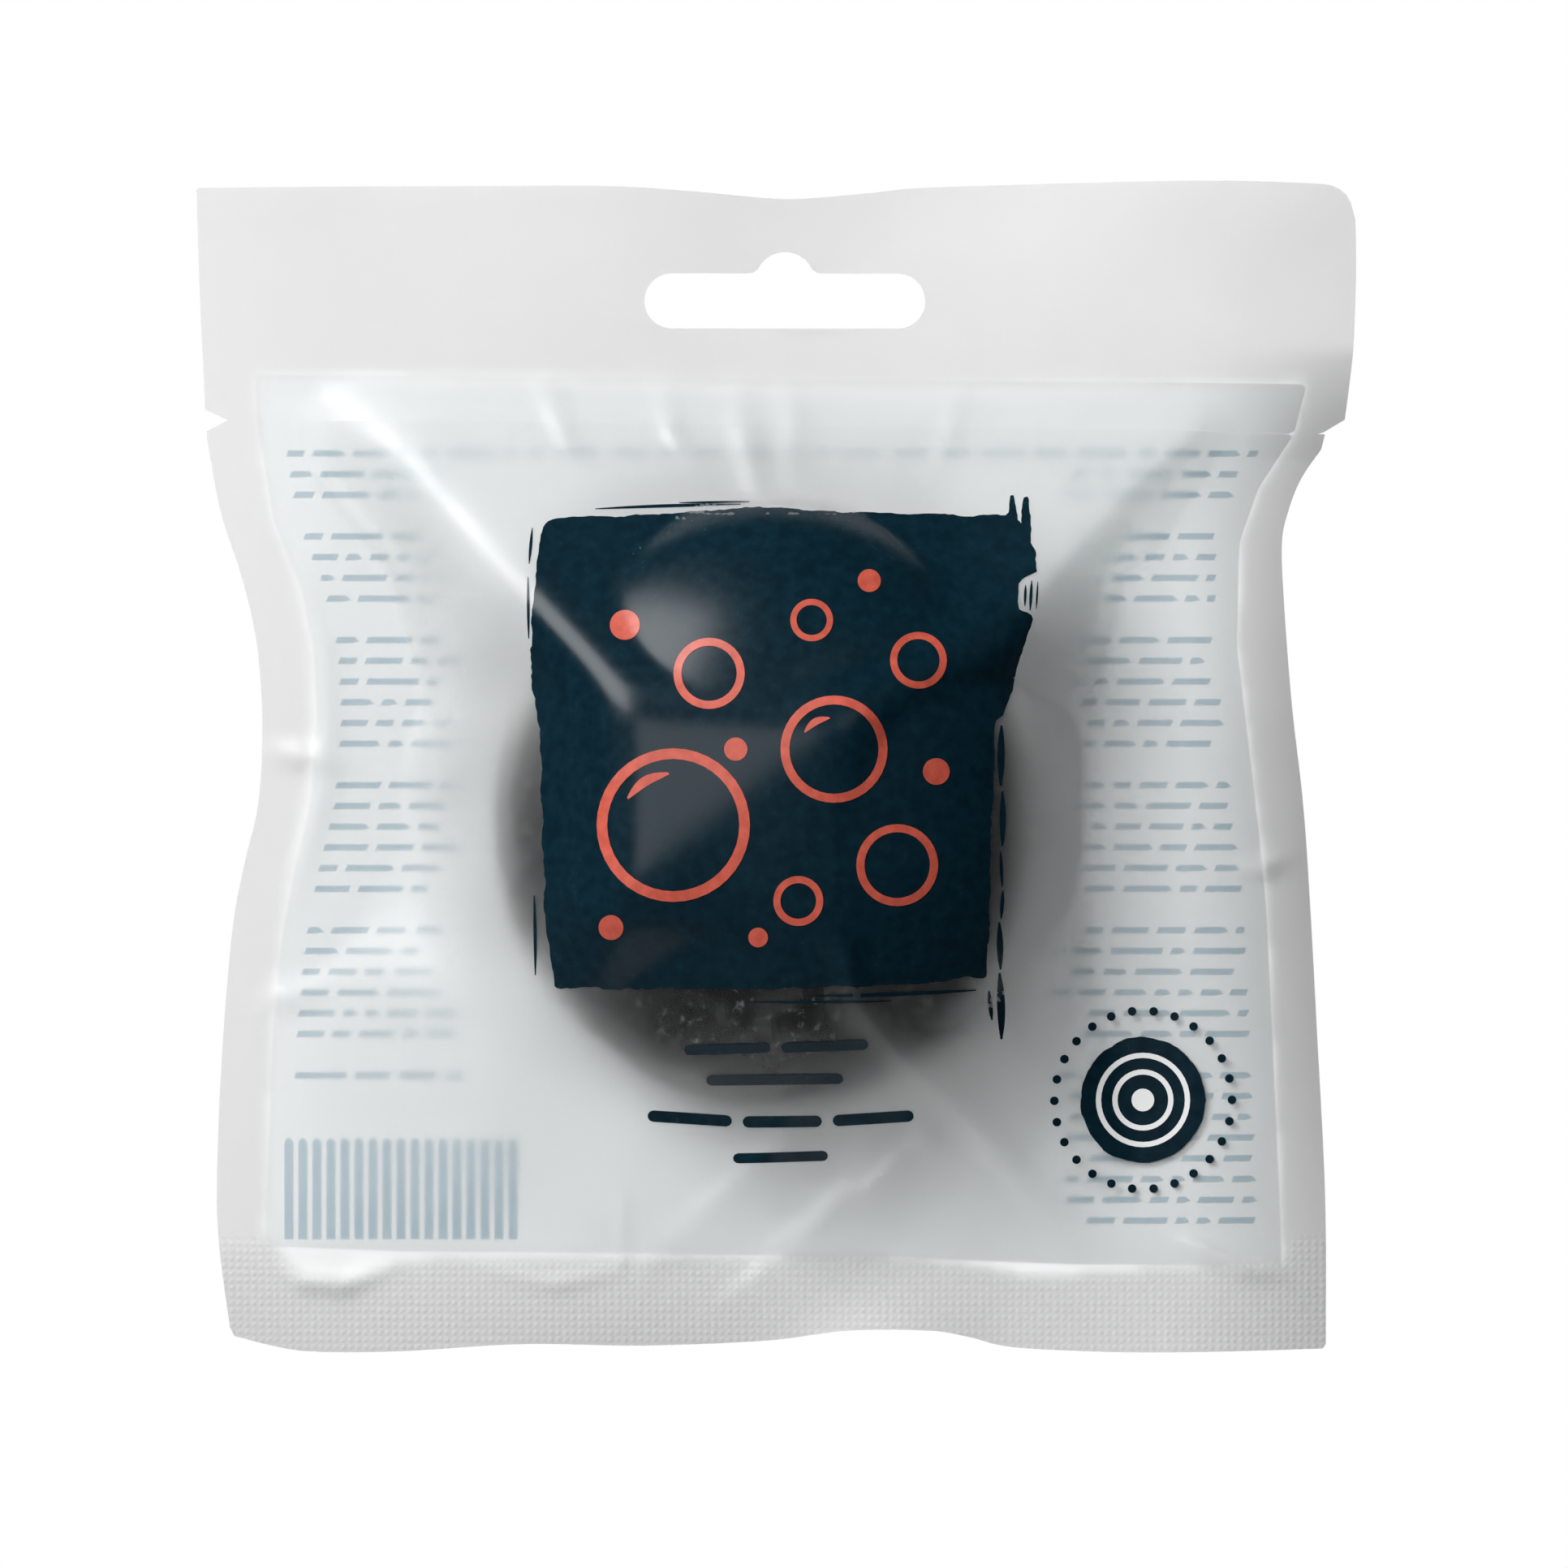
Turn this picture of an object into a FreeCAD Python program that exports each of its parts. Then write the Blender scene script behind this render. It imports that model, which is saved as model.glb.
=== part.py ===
import FreeCAD, Part
import math
import os

# A konjac sponge in a frosted film pouch that hangs from a euro slot.
# Millimetres. X runs to the right, Y away from the viewer and Z up, so the front faces -Y.
# The origin is the centre of the slot's hump, in the plane where the two films are welded.

# Pouch outline, flat, as the drawn-in pouch shows it from the front
POUCH_WIDTH = 132.5
POUCH_HEIGHT = 133.7
SLOT_OFF_CENTRE = 0.95
SLOT_FROM_TOP = 11.4
CORNER_RADIUS = 3.4
TOP_WAVE = 2.0
BOTTOM_WAVE = 2.5
FILM_GAUGE = 0.15

# Left edge: share of the height from the top, share of the width that the edge is drawn in
LEFT_EDGE_SHARES = (
    (0.087, 0.0025),
    (0.170, 0.006),
    (0.225, 0.010),
    (0.281, 0.020),
    (0.337, 0.038),
    (0.392, 0.051),
    (0.461, 0.057),
    (0.530, 0.053),
    (0.586, 0.040),
    (0.642, 0.030),
    (0.752, 0.021),
    (0.850, 0.017),
    (0.905, 0.019),
)

# Right edge: share of the way from the top to the notch, or from the notch to the bottom
RIGHT_HEADER_EDGE_SHARES = (
    (0.340, 0.0),
    (0.662, 0.002),
    (0.918, 0.008),
    (0.955, 0.0095),
)
RIGHT_POUCH_EDGE_SHARES = (
    (0.018, 0.028),
    (0.049, 0.047),
    (0.085, 0.058),
    (0.120, 0.063),
    (0.190, 0.061),
    (0.296, 0.054),
    (0.402, 0.0445),
    (0.508, 0.0385),
    (0.650, 0.0325),
    (0.827, 0.026),
)

# Top and bottom edges: share of the width from the left, share of the wave's height
TOP_EDGE_SHARES = (
    (0.0, 0.4),
    (0.247, 0.3),
    (0.352, 0.3),
    (0.508, 1.0),
    (0.632, 0.3),
    (0.772, 0.1),
    (0.877, 0.0),
)
BOTTOM_EDGE_SHARES = (
    (0.028, 1.0),
    (0.072, 0.2),
    (0.106, 0.0),
    (0.177, 0.04),
    (0.281, 0.36),
    (0.386, 0.28),
    (0.492, 0.52),
    (0.561, 1.0),
    (0.632, 1.0),
    (0.702, 0.24),
    (0.772, 0.04),
    (0.841, 0.0),
    (0.975, 0.16),
)

# Hang slot: a round-ended slot with a hump that centres the hook
SLOT_WIDTH = 32.0
SLOT_HEIGHT = 6.3
SLOT_DROP = 2.2
HUMP_RADIUS = 3.4

# Tear line between the two edge notches
LEFT_NOTCH_DROP = 15.8
RIGHT_NOTCH_DROP = 17.3
LEFT_NOTCH_INSET = 3.5
RIGHT_NOTCH_INSET = 3.4
NOTCH_MOUTH = 2.5
NOTCH_REACH = 3.0
NOTCH_ROOT_RADIUS = 0.3
TEAR_GAP = 0.2

# Sponge: a half ball with a flat base and a rounded rim, dome to the front, its widest part
# forward of the weld plane
SPONGE_DIAMETER = 64.0
SPONGE_DOME = 20.0
SPONGE_RIM = 7.0
SPONGE_SHOULDER = 14.0
SPONGE_OFFSET = -1.4
SPONGE_DROP = 62.5
SPONGE_FORWARD = 4.5
SPONGE_SHIFT = 6.0
FILM_CLEARANCE = 0.3

# Front film: the angle at which it leaves the dome, and the corners of its crown, as shares of the
# sponge's radius right of and above its centre and of the dome's reach
FILM_LEAN = 25.0
CROWN_SHARES = (
    (-0.566, 0.466, 0.963),
    (0.312, 0.409, 1.057),
    (0.256, -0.403, 0.955),
    (-0.566, -0.269, 1.020),
)

# Tent folds of the front film, in order round the sponge. Shares of the pouch's width and height from
# its left and top edges to the fold's foot and to its knee, share of the dome's reach at the knee, and
# the crown corner that the fold runs up to
FOLD_SHARES = (
    (0.091, 0.175, 0.245, 0.321, 0.531, 0),
    (0.356, 0.174, 0.405, 0.310, 0.514, 0),
    (0.613, 0.177, 0.537, 0.310, 0.514, 1),
    (0.899, 0.182, 0.731, 0.349, 0.563, 1),
    (0.811, 0.319, 0.698, 0.399, 0.710, 1),
    (0.768, 0.436, 0.673, 0.444, 0.694, 1),
    (0.755, 0.549, 0.688, 0.549, 0.408, 2),
    (0.772, 0.663, 0.658, 0.654, 0.490, 2),
    (0.802, 0.788, 0.654, 0.728, 0.490, 2),
    (0.824, 0.914, 0.666, 0.797, 0.367, 2),
    (0.707, 0.930, 0.643, 0.829, 0.327, 2),
    (0.586, 0.918, 0.575, 0.830, 0.351, 2),
    (0.471, 0.920, 0.503, 0.820, 0.367, 2),
    (0.367, 0.919, 0.386, 0.774, 0.384, 3),
    (0.180, 0.923, 0.264, 0.777, 0.245, 3),
    (0.066, 0.893, 0.194, 0.743, 0.131, 3),
    (0.073, 0.686, 0.222, 0.699, 0.204, 3),
    (0.189, 0.598, 0.296, 0.631, 0.596, 3),
    (0.183, 0.512, 0.273, 0.519, 0.506, 0),
    (0.202, 0.441, 0.281, 0.429, 0.531, 0),
    (0.152, 0.306, 0.238, 0.332, 0.506, 0),
)

# Back film: a shallow dish behind the base, and its corners and crown
SIDE_REACH = 2.6
TOP_REACH = 5.6
BOTTOM_REACH = 5.0
DISH_LEFT_TOP_MARGIN = 18.2
DISH_RIGHT_TOP_MARGIN = 13.8
DISH_LEFT_BOTTOM_MARGIN = 15.2
DISH_RIGHT_BOTTOM_MARGIN = 16.3
DISH_TOP_MARGIN = 2.2
DISH_BOTTOM_MARGIN = 14.0
DISH_SECTION_SHARES = (0.0, 0.5, 1.0)
DISH_ROUND_SHARE = 0.46
DISH_CROWN_WIDTH = 52.0
DISH_CROWN_HEIGHT = 50.0

# Printed ink layers
PRINT_GAUGE = 0.06
PRINT_GAP = 0.16
BLOCK_WIDTH = 51.5
BLOCK_HEIGHT = 53.5
BLOCK_OFFSET = -2.0
BLOCK_DROP = 53.6
BLOCK_CORNER = 1.5
BADGE_DIAMETER = 14.4
BADGE_FROM_RIGHT = 24.4
BADGE_FROM_BOTTOM = 28.8
HEADER_HEIGHT = 22.1
SIDE_SEAL = 5.6
BOTTOM_SEAL = 10.5

# One overrun for every cut
OVERRUN = 40.0

FRONT = -1
BACK = 1
TOP = SLOT_FROM_TOP
LEFT = -POUCH_WIDTH / 2 - SLOT_OFF_CENTRE
RIGHT = POUCH_WIDTH / 2 - SLOT_OFF_CENTRE
BOTTOM = TOP - POUCH_HEIGHT
SPONGE_RADIUS = SPONGE_DIAMETER / 2
DOME_REACH = SPONGE_FORWARD + SPONGE_DOME
ROOT_LEFT = FreeCAD.Vector(LEFT + LEFT_NOTCH_INSET, 0, -LEFT_NOTCH_DROP)
ROOT_RIGHT = FreeCAD.Vector(RIGHT - RIGHT_NOTCH_INSET, 0, -RIGHT_NOTCH_DROP)
Y_AXIS = FreeCAD.Vector(0, 1, 0)


def point(x, z, y=0):
    return FreeCAD.Vector(x, y, z)


def spline(points):
    curve = Part.BSplineCurve()
    curve.interpolate(points)
    return curve.toShape()


def line(start, end):
    return Part.LineSegment(start, end).toShape()


def through(face):
    """The face, drawn in the weld plane, run out past both films."""
    face.translate(FreeCAD.Vector(0, -OVERRUN, 0))
    return face.extrude(FreeCAD.Vector(0, OVERRUN + OVERRUN, 0))


def left_points(inset):
    points = []
    for down_share, in_share in LEFT_EDGE_SHARES:
        points.append(point(LEFT + in_share * POUCH_WIDTH + inset, TOP - down_share * POUCH_HEIGHT))
    return points


def right_points(shares, start, end, inset):
    points = []
    for down_share, in_share in shares:
        points.append(point(RIGHT - in_share * POUCH_WIDTH - inset, start + (end - start) * down_share))
    return points


def right_header_points(inset):
    return right_points(RIGHT_HEADER_EDGE_SHARES, TOP, ROOT_RIGHT.z, inset)


def right_pouch_points(inset):
    return right_points(RIGHT_POUCH_EDGE_SHARES, ROOT_RIGHT.z, BOTTOM, inset)


def top_points():
    points = []
    for across_share, dip_share in TOP_EDGE_SHARES:
        points.append(point(LEFT + across_share * POUCH_WIDTH, TOP - dip_share * TOP_WAVE))
    return points


def bottom_points():
    points = []
    for across_share, rise_share in BOTTOM_EDGE_SHARES:
        points.append(point(LEFT + across_share * POUCH_WIDTH, BOTTOM + rise_share * BOTTOM_WAVE))
    return points


def top_right_corner(start, end):
    """The rounded corner: a run to the corner's arc, the arc, and a run down from it."""
    arc_start = point(end.x - CORNER_RADIUS, start.z)
    arc_end = point(end.x, start.z - CORNER_RADIUS)
    lean = CORNER_RADIUS * (1 - math.sqrt(0.5))
    middle = point(end.x - lean, start.z - lean)
    arc = Part.Arc(arc_start, middle, arc_end).toShape()
    return [line(start, arc_start), arc, line(arc_end, end)]


def outline():
    """The whole flat pouch, header and body, before the slot and notches are cut."""
    top = top_points()
    bottom = bottom_points()
    header = right_header_points(0)
    body = right_pouch_points(0) + [bottom[-1]]
    left = [top[0]] + left_points(0) + [bottom[0]]
    edges = [spline(top)]
    edges += top_right_corner(top[-1], header[0])
    edges.append(spline(header))
    edges.append(line(header[-1], ROOT_RIGHT))
    edges.append(line(ROOT_RIGHT, body[0]))
    edges.append(spline(body))
    edges.append(spline(bottom))
    edges.append(spline(left))
    return through(Part.Face(Part.Wire(Part.__sortEdges__(edges))))


def hang_slot():
    """The euro slot: a slot with round ends, and the round hump above its middle."""
    end_radius = SLOT_HEIGHT / 2
    half = SLOT_WIDTH / 2 - end_radius
    high = -SLOT_DROP + end_radius
    low = -SLOT_DROP - end_radius
    right_end = Part.Arc(point(half, high), point(half + end_radius, -SLOT_DROP), point(half, low))
    left_end = Part.Arc(point(-half, low), point(-half - end_radius, -SLOT_DROP), point(-half, high))
    edges = [line(point(-half, high), point(half, high)), right_end.toShape()]
    edges += [line(point(half, low), point(-half, low)), left_end.toShape()]
    bar = through(Part.Face(Part.Wire(edges)))
    return bar.fuse(post(0, 0, HUMP_RADIUS)).removeSplitter()


def post(x, z, radius):
    """A round cutter along Y, long enough to pass both films."""
    start = point(x, z, -OVERRUN)
    return Part.makeCylinder(radius, OVERRUN + OVERRUN, start, Y_AXIS)


def notch(root, side):
    """A pointed tear notch that opens outwards, with a small round root."""
    outer = root.x + side * NOTCH_REACH * 2
    spread = NOTCH_MOUTH / 2
    mouth = root.x + side * NOTCH_REACH
    corners = [root, point(mouth, root.z + spread), point(outer, root.z + spread)]
    corners += [point(outer, root.z - spread), point(mouth, root.z - spread), root]
    wedge = through(Part.Face(Part.makePolygon(corners)))
    return wedge.fuse(post(root.x, root.z, NOTCH_ROOT_RADIUS))


def tear_band(side):
    """Everything above (side 1) or below (side -1) the tear line, half the tear gap clear of it."""
    along = (ROOT_RIGHT - ROOT_LEFT).normalize()
    up = FreeCAD.Vector(-along.z, 0, along.x) * side
    start = ROOT_LEFT - along * OVERRUN + up * (TEAR_GAP / 2)
    end = ROOT_RIGHT + along * OVERRUN + up * (TEAR_GAP / 2)
    far = up * (POUCH_HEIGHT + OVERRUN)
    return through(Part.Face(Part.makePolygon([start, end, end + far, start + far, start])))


def blanks():
    """The header's and the pouch's outlines as prisms, notched and parted at the tear line."""
    whole = outline()
    whole = whole.cut(notch(ROOT_LEFT, -1))
    whole = whole.cut(notch(ROOT_RIGHT, 1))
    header = whole.common(tear_band(1)).cut(hang_slot())
    pouch = whole.common(tear_band(-1))
    return header, pouch


def crown_arc():
    """Radius of the dome's crown, how far its centre lies behind the rim, and where it meets the shoulder."""
    neck = SPONGE_RADIUS - SPONGE_SHOULDER
    rise = SPONGE_DOME - SPONGE_SHOULDER
    radius = (neck ** 2 + SPONGE_DOME ** 2 - SPONGE_SHOULDER ** 2) / (2 * rise)
    behind = radius - SPONGE_DOME
    return radius, behind, math.atan2(behind, neck)


def on_arc(x, y, radius, lean):
    """A point of an arc in the dome's half section, leaning forward from the rim's plane."""
    return point(x + radius * math.cos(lean), 0, y - radius * math.sin(lean))


def dome_edges(grow, lowest):
    """The dome's shoulder and crown in half section, grown, from a lowest lean to the tip."""
    neck = SPONGE_RADIUS - SPONGE_SHOULDER
    crown, behind, meet = crown_arc()
    shoulder = SPONGE_SHOULDER + grow
    crown = crown + grow
    upright = math.pi / 2
    start = on_arc(neck, 0, shoulder, lowest)
    join = on_arc(neck, 0, shoulder, meet)
    tip = on_arc(0, behind, crown, upright)
    edges = [Part.Arc(start, on_arc(neck, 0, shoulder, (lowest + meet) / 2), join).toShape()]
    edges.append(Part.Arc(join, on_arc(0, behind, crown, (meet + upright) / 2), tip).toShape())
    return edges, start, tip


def dome_room(grow):
    """The room that the dome needs to shift in, with the film's straight run off it to the weld plane."""
    lean = math.radians(FILM_LEAN)
    edges, start, tip = dome_edges(FILM_CLEARANCE + grow, lean)
    foot = point(start.x + (SPONGE_FORWARD - start.y) * math.tan(lean), 0, SPONGE_FORWARD)
    heel = point(0, 0, SPONGE_FORWARD)
    edges += [line(tip, heel), line(heel, foot), line(foot, start)]
    half = Part.Face(Part.Wire(Part.__sortEdges__(edges)))
    other = half.copy()
    other.rotate(point(0, 0), Y_AXIS, 180)
    shift = point(0, SPONGE_SHIFT)
    room = half.revolve(point(0, 0), Y_AXIS, 180)
    upper = other.revolve(point(0, 0), Y_AXIS, 180)
    upper.translate(shift)
    room = room.multiFuse([upper, half.extrude(shift), other.extrude(shift)]).removeSplitter()
    room.translate(point(SPONGE_OFFSET, -SPONGE_DROP, -SPONGE_FORWARD))
    return room


def tent_points(grow):
    """Feet, knees and crown corners of the front film's folds, grown straight forward."""
    corners = []
    for across_share, up_share, reach_share in CROWN_SHARES:
        x = SPONGE_OFFSET + across_share * SPONGE_RADIUS
        z = up_share * SPONGE_RADIUS - SPONGE_DROP
        corners.append(point(x, z, -reach_share * DOME_REACH - grow))
    feet = []
    knees = []
    tops = []
    for foot_across, foot_down, knee_across, knee_down, reach_share, corner in FOLD_SHARES:
        feet.append(point(LEFT + foot_across * POUCH_WIDTH, TOP - foot_down * POUCH_HEIGHT, -grow))
        knee = point(LEFT + knee_across * POUCH_WIDTH, TOP - knee_down * POUCH_HEIGHT)
        knees.append(knee + point(0, 0, -reach_share * DOME_REACH - grow))
        tops.append(corners[corner])
    return feet, knees, tops, corners


def facets(corners):
    """The flat facets of one ring of corners, fanned from its first, without those that have no area."""
    found = []
    for second, third in zip(corners[1:], corners[2:]):
        first = corners[0]
        if (second - first).cross(third - first).Length > FILM_GAUGE ** 2:
            found.append(Part.Face(Part.makePolygon([first, second, third, first])))
    return found


def tent(grow):
    """The space under the front film's tent folds, from the weld plane to their facets."""
    feet, knees, tops, corners = tent_points(grow)
    base = [point(foot.x, foot.z) for foot in feet]
    faces = facets(corners)
    for now in range(len(feet)):
        after = (now + 1) % len(feet)
        faces += facets([knees[now], feet[now], feet[after], knees[after]])
        faces += facets([knees[now], knees[after], tops[after], tops[now]])
        faces += facets([feet[now], base[now], base[after], feet[after]])
    faces.append(Part.Face(Part.makePolygon(base + base[:1])))
    shell = Part.Shell(faces)
    shell.sewShape()
    return Part.Solid(Part.Shell(shell.Faces))


def dish_reach(share, reach):
    """How far the back film stands from the sponge's centre, part of the way into its dish."""
    shoulder = math.sqrt(1 - (DISH_ROUND_SHARE * share) ** 2)
    return SPONGE_RADIUS * shoulder + reach * (1 - share)


def dish_section(share, y, grow):
    """One closed outline of the back film's dish: four corners joined by four drawn-in or bowed sides."""
    top_z = min(ROOT_LEFT.z, ROOT_RIGHT.z) - DISH_TOP_MARGIN
    bottom_z = BOTTOM + DISH_BOTTOM_MARGIN
    low = -SPONGE_DROP
    high = low + SPONGE_SHIFT
    half_width = DISH_CROWN_WIDTH / 2
    half_height = DISH_CROWN_HEIGHT / 2
    base = (
        (LEFT + DISH_LEFT_TOP_MARGIN, top_z),
        (RIGHT - DISH_RIGHT_TOP_MARGIN, top_z),
        (RIGHT - DISH_RIGHT_BOTTOM_MARGIN, bottom_z),
        (LEFT + DISH_LEFT_BOTTOM_MARGIN, bottom_z),
    )
    tops = (
        (SPONGE_OFFSET - half_width, high + half_height),
        (SPONGE_OFFSET + half_width, high + half_height),
        (SPONGE_OFFSET + half_width, low - half_height),
        (SPONGE_OFFSET - half_width, low - half_height),
    )
    ways = ((-1, 1), (1, 1), (1, -1), (-1, -1))
    corners = []
    for foot, top, way in zip(base, tops, ways):
        x = foot[0] + (top[0] - foot[0]) * share + way[0] * grow
        z = foot[1] + (top[1] - foot[1]) * share + way[1] * grow
        corners.append(point(x, z, y))
    side = dish_reach(share, SIDE_REACH) + grow
    middles = (
        high + dish_reach(share, TOP_REACH) + grow,
        SPONGE_OFFSET + side,
        low - dish_reach(share, BOTTOM_REACH) - grow,
        SPONGE_OFFSET - side,
    )
    edges = []
    for index in range(4):
        start = corners[index]
        end = corners[(index + 1) % 4]
        pull = (start + end) / 2
        if index % 2 == 0:
            pull.z = 2 * middles[index] - pull.z
        else:
            pull.x = 2 * middles[index] - pull.x
        curve = Part.BezierCurve()
        curve.setPoles([start, pull, end])
        edges.append(curve.toShape())
    return Part.Wire(edges)


def dish(grow):
    """The space in front of the back film, from the weld plane to its flat crown, grown by a layer's depth."""
    depth = SPONGE_RIM - SPONGE_FORWARD + FILM_CLEARANCE
    wires = []
    for share in DISH_SECTION_SHARES:
        wires.append(dish_section(share, share * depth + grow, grow))
    space = Part.makeLoft(wires, True, False)
    if grow == 0:
        return space
    foot = Part.Face(dish_section(0, 0, grow))
    return space.fuse(foot.extrude(FreeCAD.Vector(0, grow, 0)))


def roof(side, grow):
    """The space under one film, grown by a layer's depth."""
    if side == FRONT:
        return tent(grow).fuse(dome_room(grow))
    return dish(grow)


def slab(side, inner, outer):
    """A flat sheet, wider than the pouch all round, between two depths on one side."""
    corner = FreeCAD.Vector(LEFT - OVERRUN, min(side * inner, side * outer), BOTTOM - OVERRUN)
    width = POUCH_WIDTH + OVERRUN + OVERRUN
    height = POUCH_HEIGHT + OVERRUN + OVERRUN
    return Part.makeBox(width, outer - inner, height, corner)


def under(side, grow):
    """All that lies between the weld plane and one film's surface, grown by a layer's depth."""
    if grow == 0:
        return roof(side, grow)
    return slab(side, 0, grow).fuse(roof(side, grow))


def layer(side, inner, outer, blank):
    """A thin layer that follows one film, between two depths, trimmed to an outline."""
    shell = under(side, outer).cut(under(side, inner))
    return shell.common(blank).removeSplitter()


def flat_layer(side, inner, outer, blank):
    """A thin flat layer in the header, between two depths, trimmed to an outline."""
    return slab(side, inner, outer).common(blank).removeSplitter()


def sponge():
    """The half ball: flat base behind, rounded rim, and a dome of a shoulder and a flatter crown."""
    bed = SPONGE_RADIUS - SPONGE_RIM
    turn = SPONGE_RIM * math.sqrt(0.5)
    edges, widest, tip = dome_edges(0, 0)
    base_edge = point(bed, 0, SPONGE_RIM)
    base_middle = point(0, 0, SPONGE_RIM)
    edges.append(Part.Arc(base_edge, point(bed + turn, 0, turn), widest).toShape())
    edges += [line(base_middle, base_edge), line(tip, base_middle)]
    half = Part.Face(Part.Wire(Part.__sortEdges__(edges)))
    ball = half.revolve(point(0, 0), Y_AXIS, 360)
    ball.translate(point(SPONGE_OFFSET, -SPONGE_DROP, -SPONGE_FORWARD))
    return ball


def block_outline():
    """The printed block: a plain upright panel with small round corners."""
    half = BLOCK_WIDTH / 2
    corner = FreeCAD.Vector(BLOCK_OFFSET - half, -OVERRUN, -BLOCK_DROP - BLOCK_HEIGHT / 2)
    panel = Part.makeBox(BLOCK_WIDTH, OVERRUN + OVERRUN, BLOCK_HEIGHT, corner)
    corners = []
    for edge in panel.Edges:
        if abs(edge.Curve.Direction.y) > abs(edge.Curve.Direction.x) + abs(edge.Curve.Direction.z):
            corners.append(edge)
    return panel.makeFillet(BLOCK_CORNER, corners)


def seal_window():
    """The unsealed window inside the header, side and bottom seals."""
    left = left_points(SIDE_SEAL)
    right = right_header_points(SIDE_SEAL)[1:] + right_pouch_points(SIDE_SEAL)[1:]
    edges = [spline(left), line(left[-1], right[-1]), spline(right), line(right[0], left[0])]
    sides = through(Part.Face(Part.Wire(Part.__sortEdges__(edges))))
    low = BOTTOM + BOTTOM_SEAL
    high = TOP - HEADER_HEIGHT
    corner = FreeCAD.Vector(LEFT, -OVERRUN, low)
    band = Part.makeBox(POUCH_WIDTH, OVERRUN + OVERRUN, high - low, corner)
    return sides.common(band)


def save(name, shape):
    solids = shape.Solids
    if len(solids) == 1:
        shape = solids[0]
    print(name, "valid", shape.isValid(), "solids", len(solids), "volume", round(shape.Volume, 2))
    shape.exportStep("parts/" + name + ".step")


os.makedirs("parts", exist_ok=True)

header_blank, pouch_blank = blanks()
window = seal_window()
ink_inner = FILM_GAUGE + PRINT_GAP
ink_outer = ink_inner + PRINT_GAUGE

# Films of the pouch: the front film over the dome, the back film behind the flat base
save("front_film", layer(FRONT, 0, FILM_GAUGE, pouch_blank))
save("back_film", layer(BACK, 0, FILM_GAUGE, pouch_blank))

# Header strip: the same two films above the tear line, slotted, with the tops of the front film's folds
save("header_front_film", layer(FRONT, 0, FILM_GAUGE, header_blank))
save("header_back_film", flat_layer(BACK, 0, FILM_GAUGE, header_blank))

# Sponge, loose between the films
save("sponge", sponge())

# Ink: the block and the badge on the front film, the white panel on the back film
badge_outline = post(RIGHT - BADGE_FROM_RIGHT, BOTTOM + BADGE_FROM_BOTTOM, BADGE_DIAMETER / 2)
save("block_print", layer(FRONT, ink_inner, ink_outer, block_outline()))
save("badge_print", layer(FRONT, ink_inner, ink_outer, badge_outline))
save("panel_print", layer(BACK, ink_inner, ink_outer, window.common(pouch_blank)))
save("header_panel_print", flat_layer(BACK, ink_inner, ink_outer, window.common(header_blank)))
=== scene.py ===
import math

import bpy
import numpy as np
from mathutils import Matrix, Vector
from mathutils.geometry import delaunay_2d_cdt


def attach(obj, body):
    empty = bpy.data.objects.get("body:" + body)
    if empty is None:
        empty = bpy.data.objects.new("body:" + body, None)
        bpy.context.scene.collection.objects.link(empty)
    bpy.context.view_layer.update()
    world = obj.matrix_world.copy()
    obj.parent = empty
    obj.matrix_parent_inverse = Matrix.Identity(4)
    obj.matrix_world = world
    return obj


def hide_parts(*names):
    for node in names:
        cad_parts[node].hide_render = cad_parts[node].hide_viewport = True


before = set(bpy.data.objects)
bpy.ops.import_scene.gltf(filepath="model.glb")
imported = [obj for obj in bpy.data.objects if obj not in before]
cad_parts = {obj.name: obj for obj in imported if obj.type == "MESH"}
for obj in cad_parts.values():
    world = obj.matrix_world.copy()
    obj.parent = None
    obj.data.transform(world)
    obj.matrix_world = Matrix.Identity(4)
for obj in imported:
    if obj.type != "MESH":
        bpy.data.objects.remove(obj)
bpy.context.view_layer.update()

# Camera: level and straight on to the front of the pouch, far enough off that the seals lie flat
# in the picture. 179.2 mm of the seals' plane fills the frame from side to side.
bpy.ops.object.select_all(action="DESELECT")
camera_away = 1.2
camera_side, camera_level = -0.0001, -0.0574
frame_width = 0.1792
sensor_width = 36
bpy.ops.object.camera_add(location=(camera_side, -camera_away, camera_level), rotation=(math.pi / 2, 0, 0))
camera = bpy.context.object
camera.name = "camera"
camera.data.sensor_width = sensor_width
camera.data.lens = sensor_width * camera_away / frame_width
camera.data.clip_end = 20
bpy.context.scene.camera = camera

# Studio: a white surround behind the pouch and a dim room, dimmest on the right, one soft lamp high
# on the left, three weaker ones in front and behind, and a small pale floor well under the pouch.
scene = bpy.context.scene
scene.view_settings.view_transform = "Standard"
surround = bpy.data.worlds.new("white_surround")
scene.world = surround
surround.use_nodes = True
nodes, links = surround.node_tree.nodes, surround.node_tree.links
nodes.clear()
sky_out = nodes.new("ShaderNodeOutputWorld")
sky_mix = nodes.new("ShaderNodeMixShader")
sky_light = nodes.new("ShaderNodeBackground")
sky_light.inputs["Color"].default_value = (0.97, 0.985, 1.0, 1)
sky_seen = nodes.new("ShaderNodeBackground")
sky_seen.inputs["Color"].default_value = (1, 1, 1, 1)
sky_seen.inputs["Strength"].default_value = 1.0
sky_ray = nodes.new("ShaderNodeLightPath")
sky_way = nodes.new("ShaderNodeTexCoord")
sky_split = nodes.new("ShaderNodeSeparateXYZ")
links.new(sky_way.outputs["Generated"], sky_split.inputs["Vector"])


def sky_sum(operation, first, second):
    """One step of the sums that say how bright the surround is to each ray."""
    step = surround.node_tree.nodes.new("ShaderNodeMath")
    step.operation = operation
    for socket, value in zip(step.inputs, (first, second)):
        if isinstance(value, float):
            socket.default_value = value
        else:
            surround.node_tree.links.new(value, socket)
    return step.outputs[0]


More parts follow.
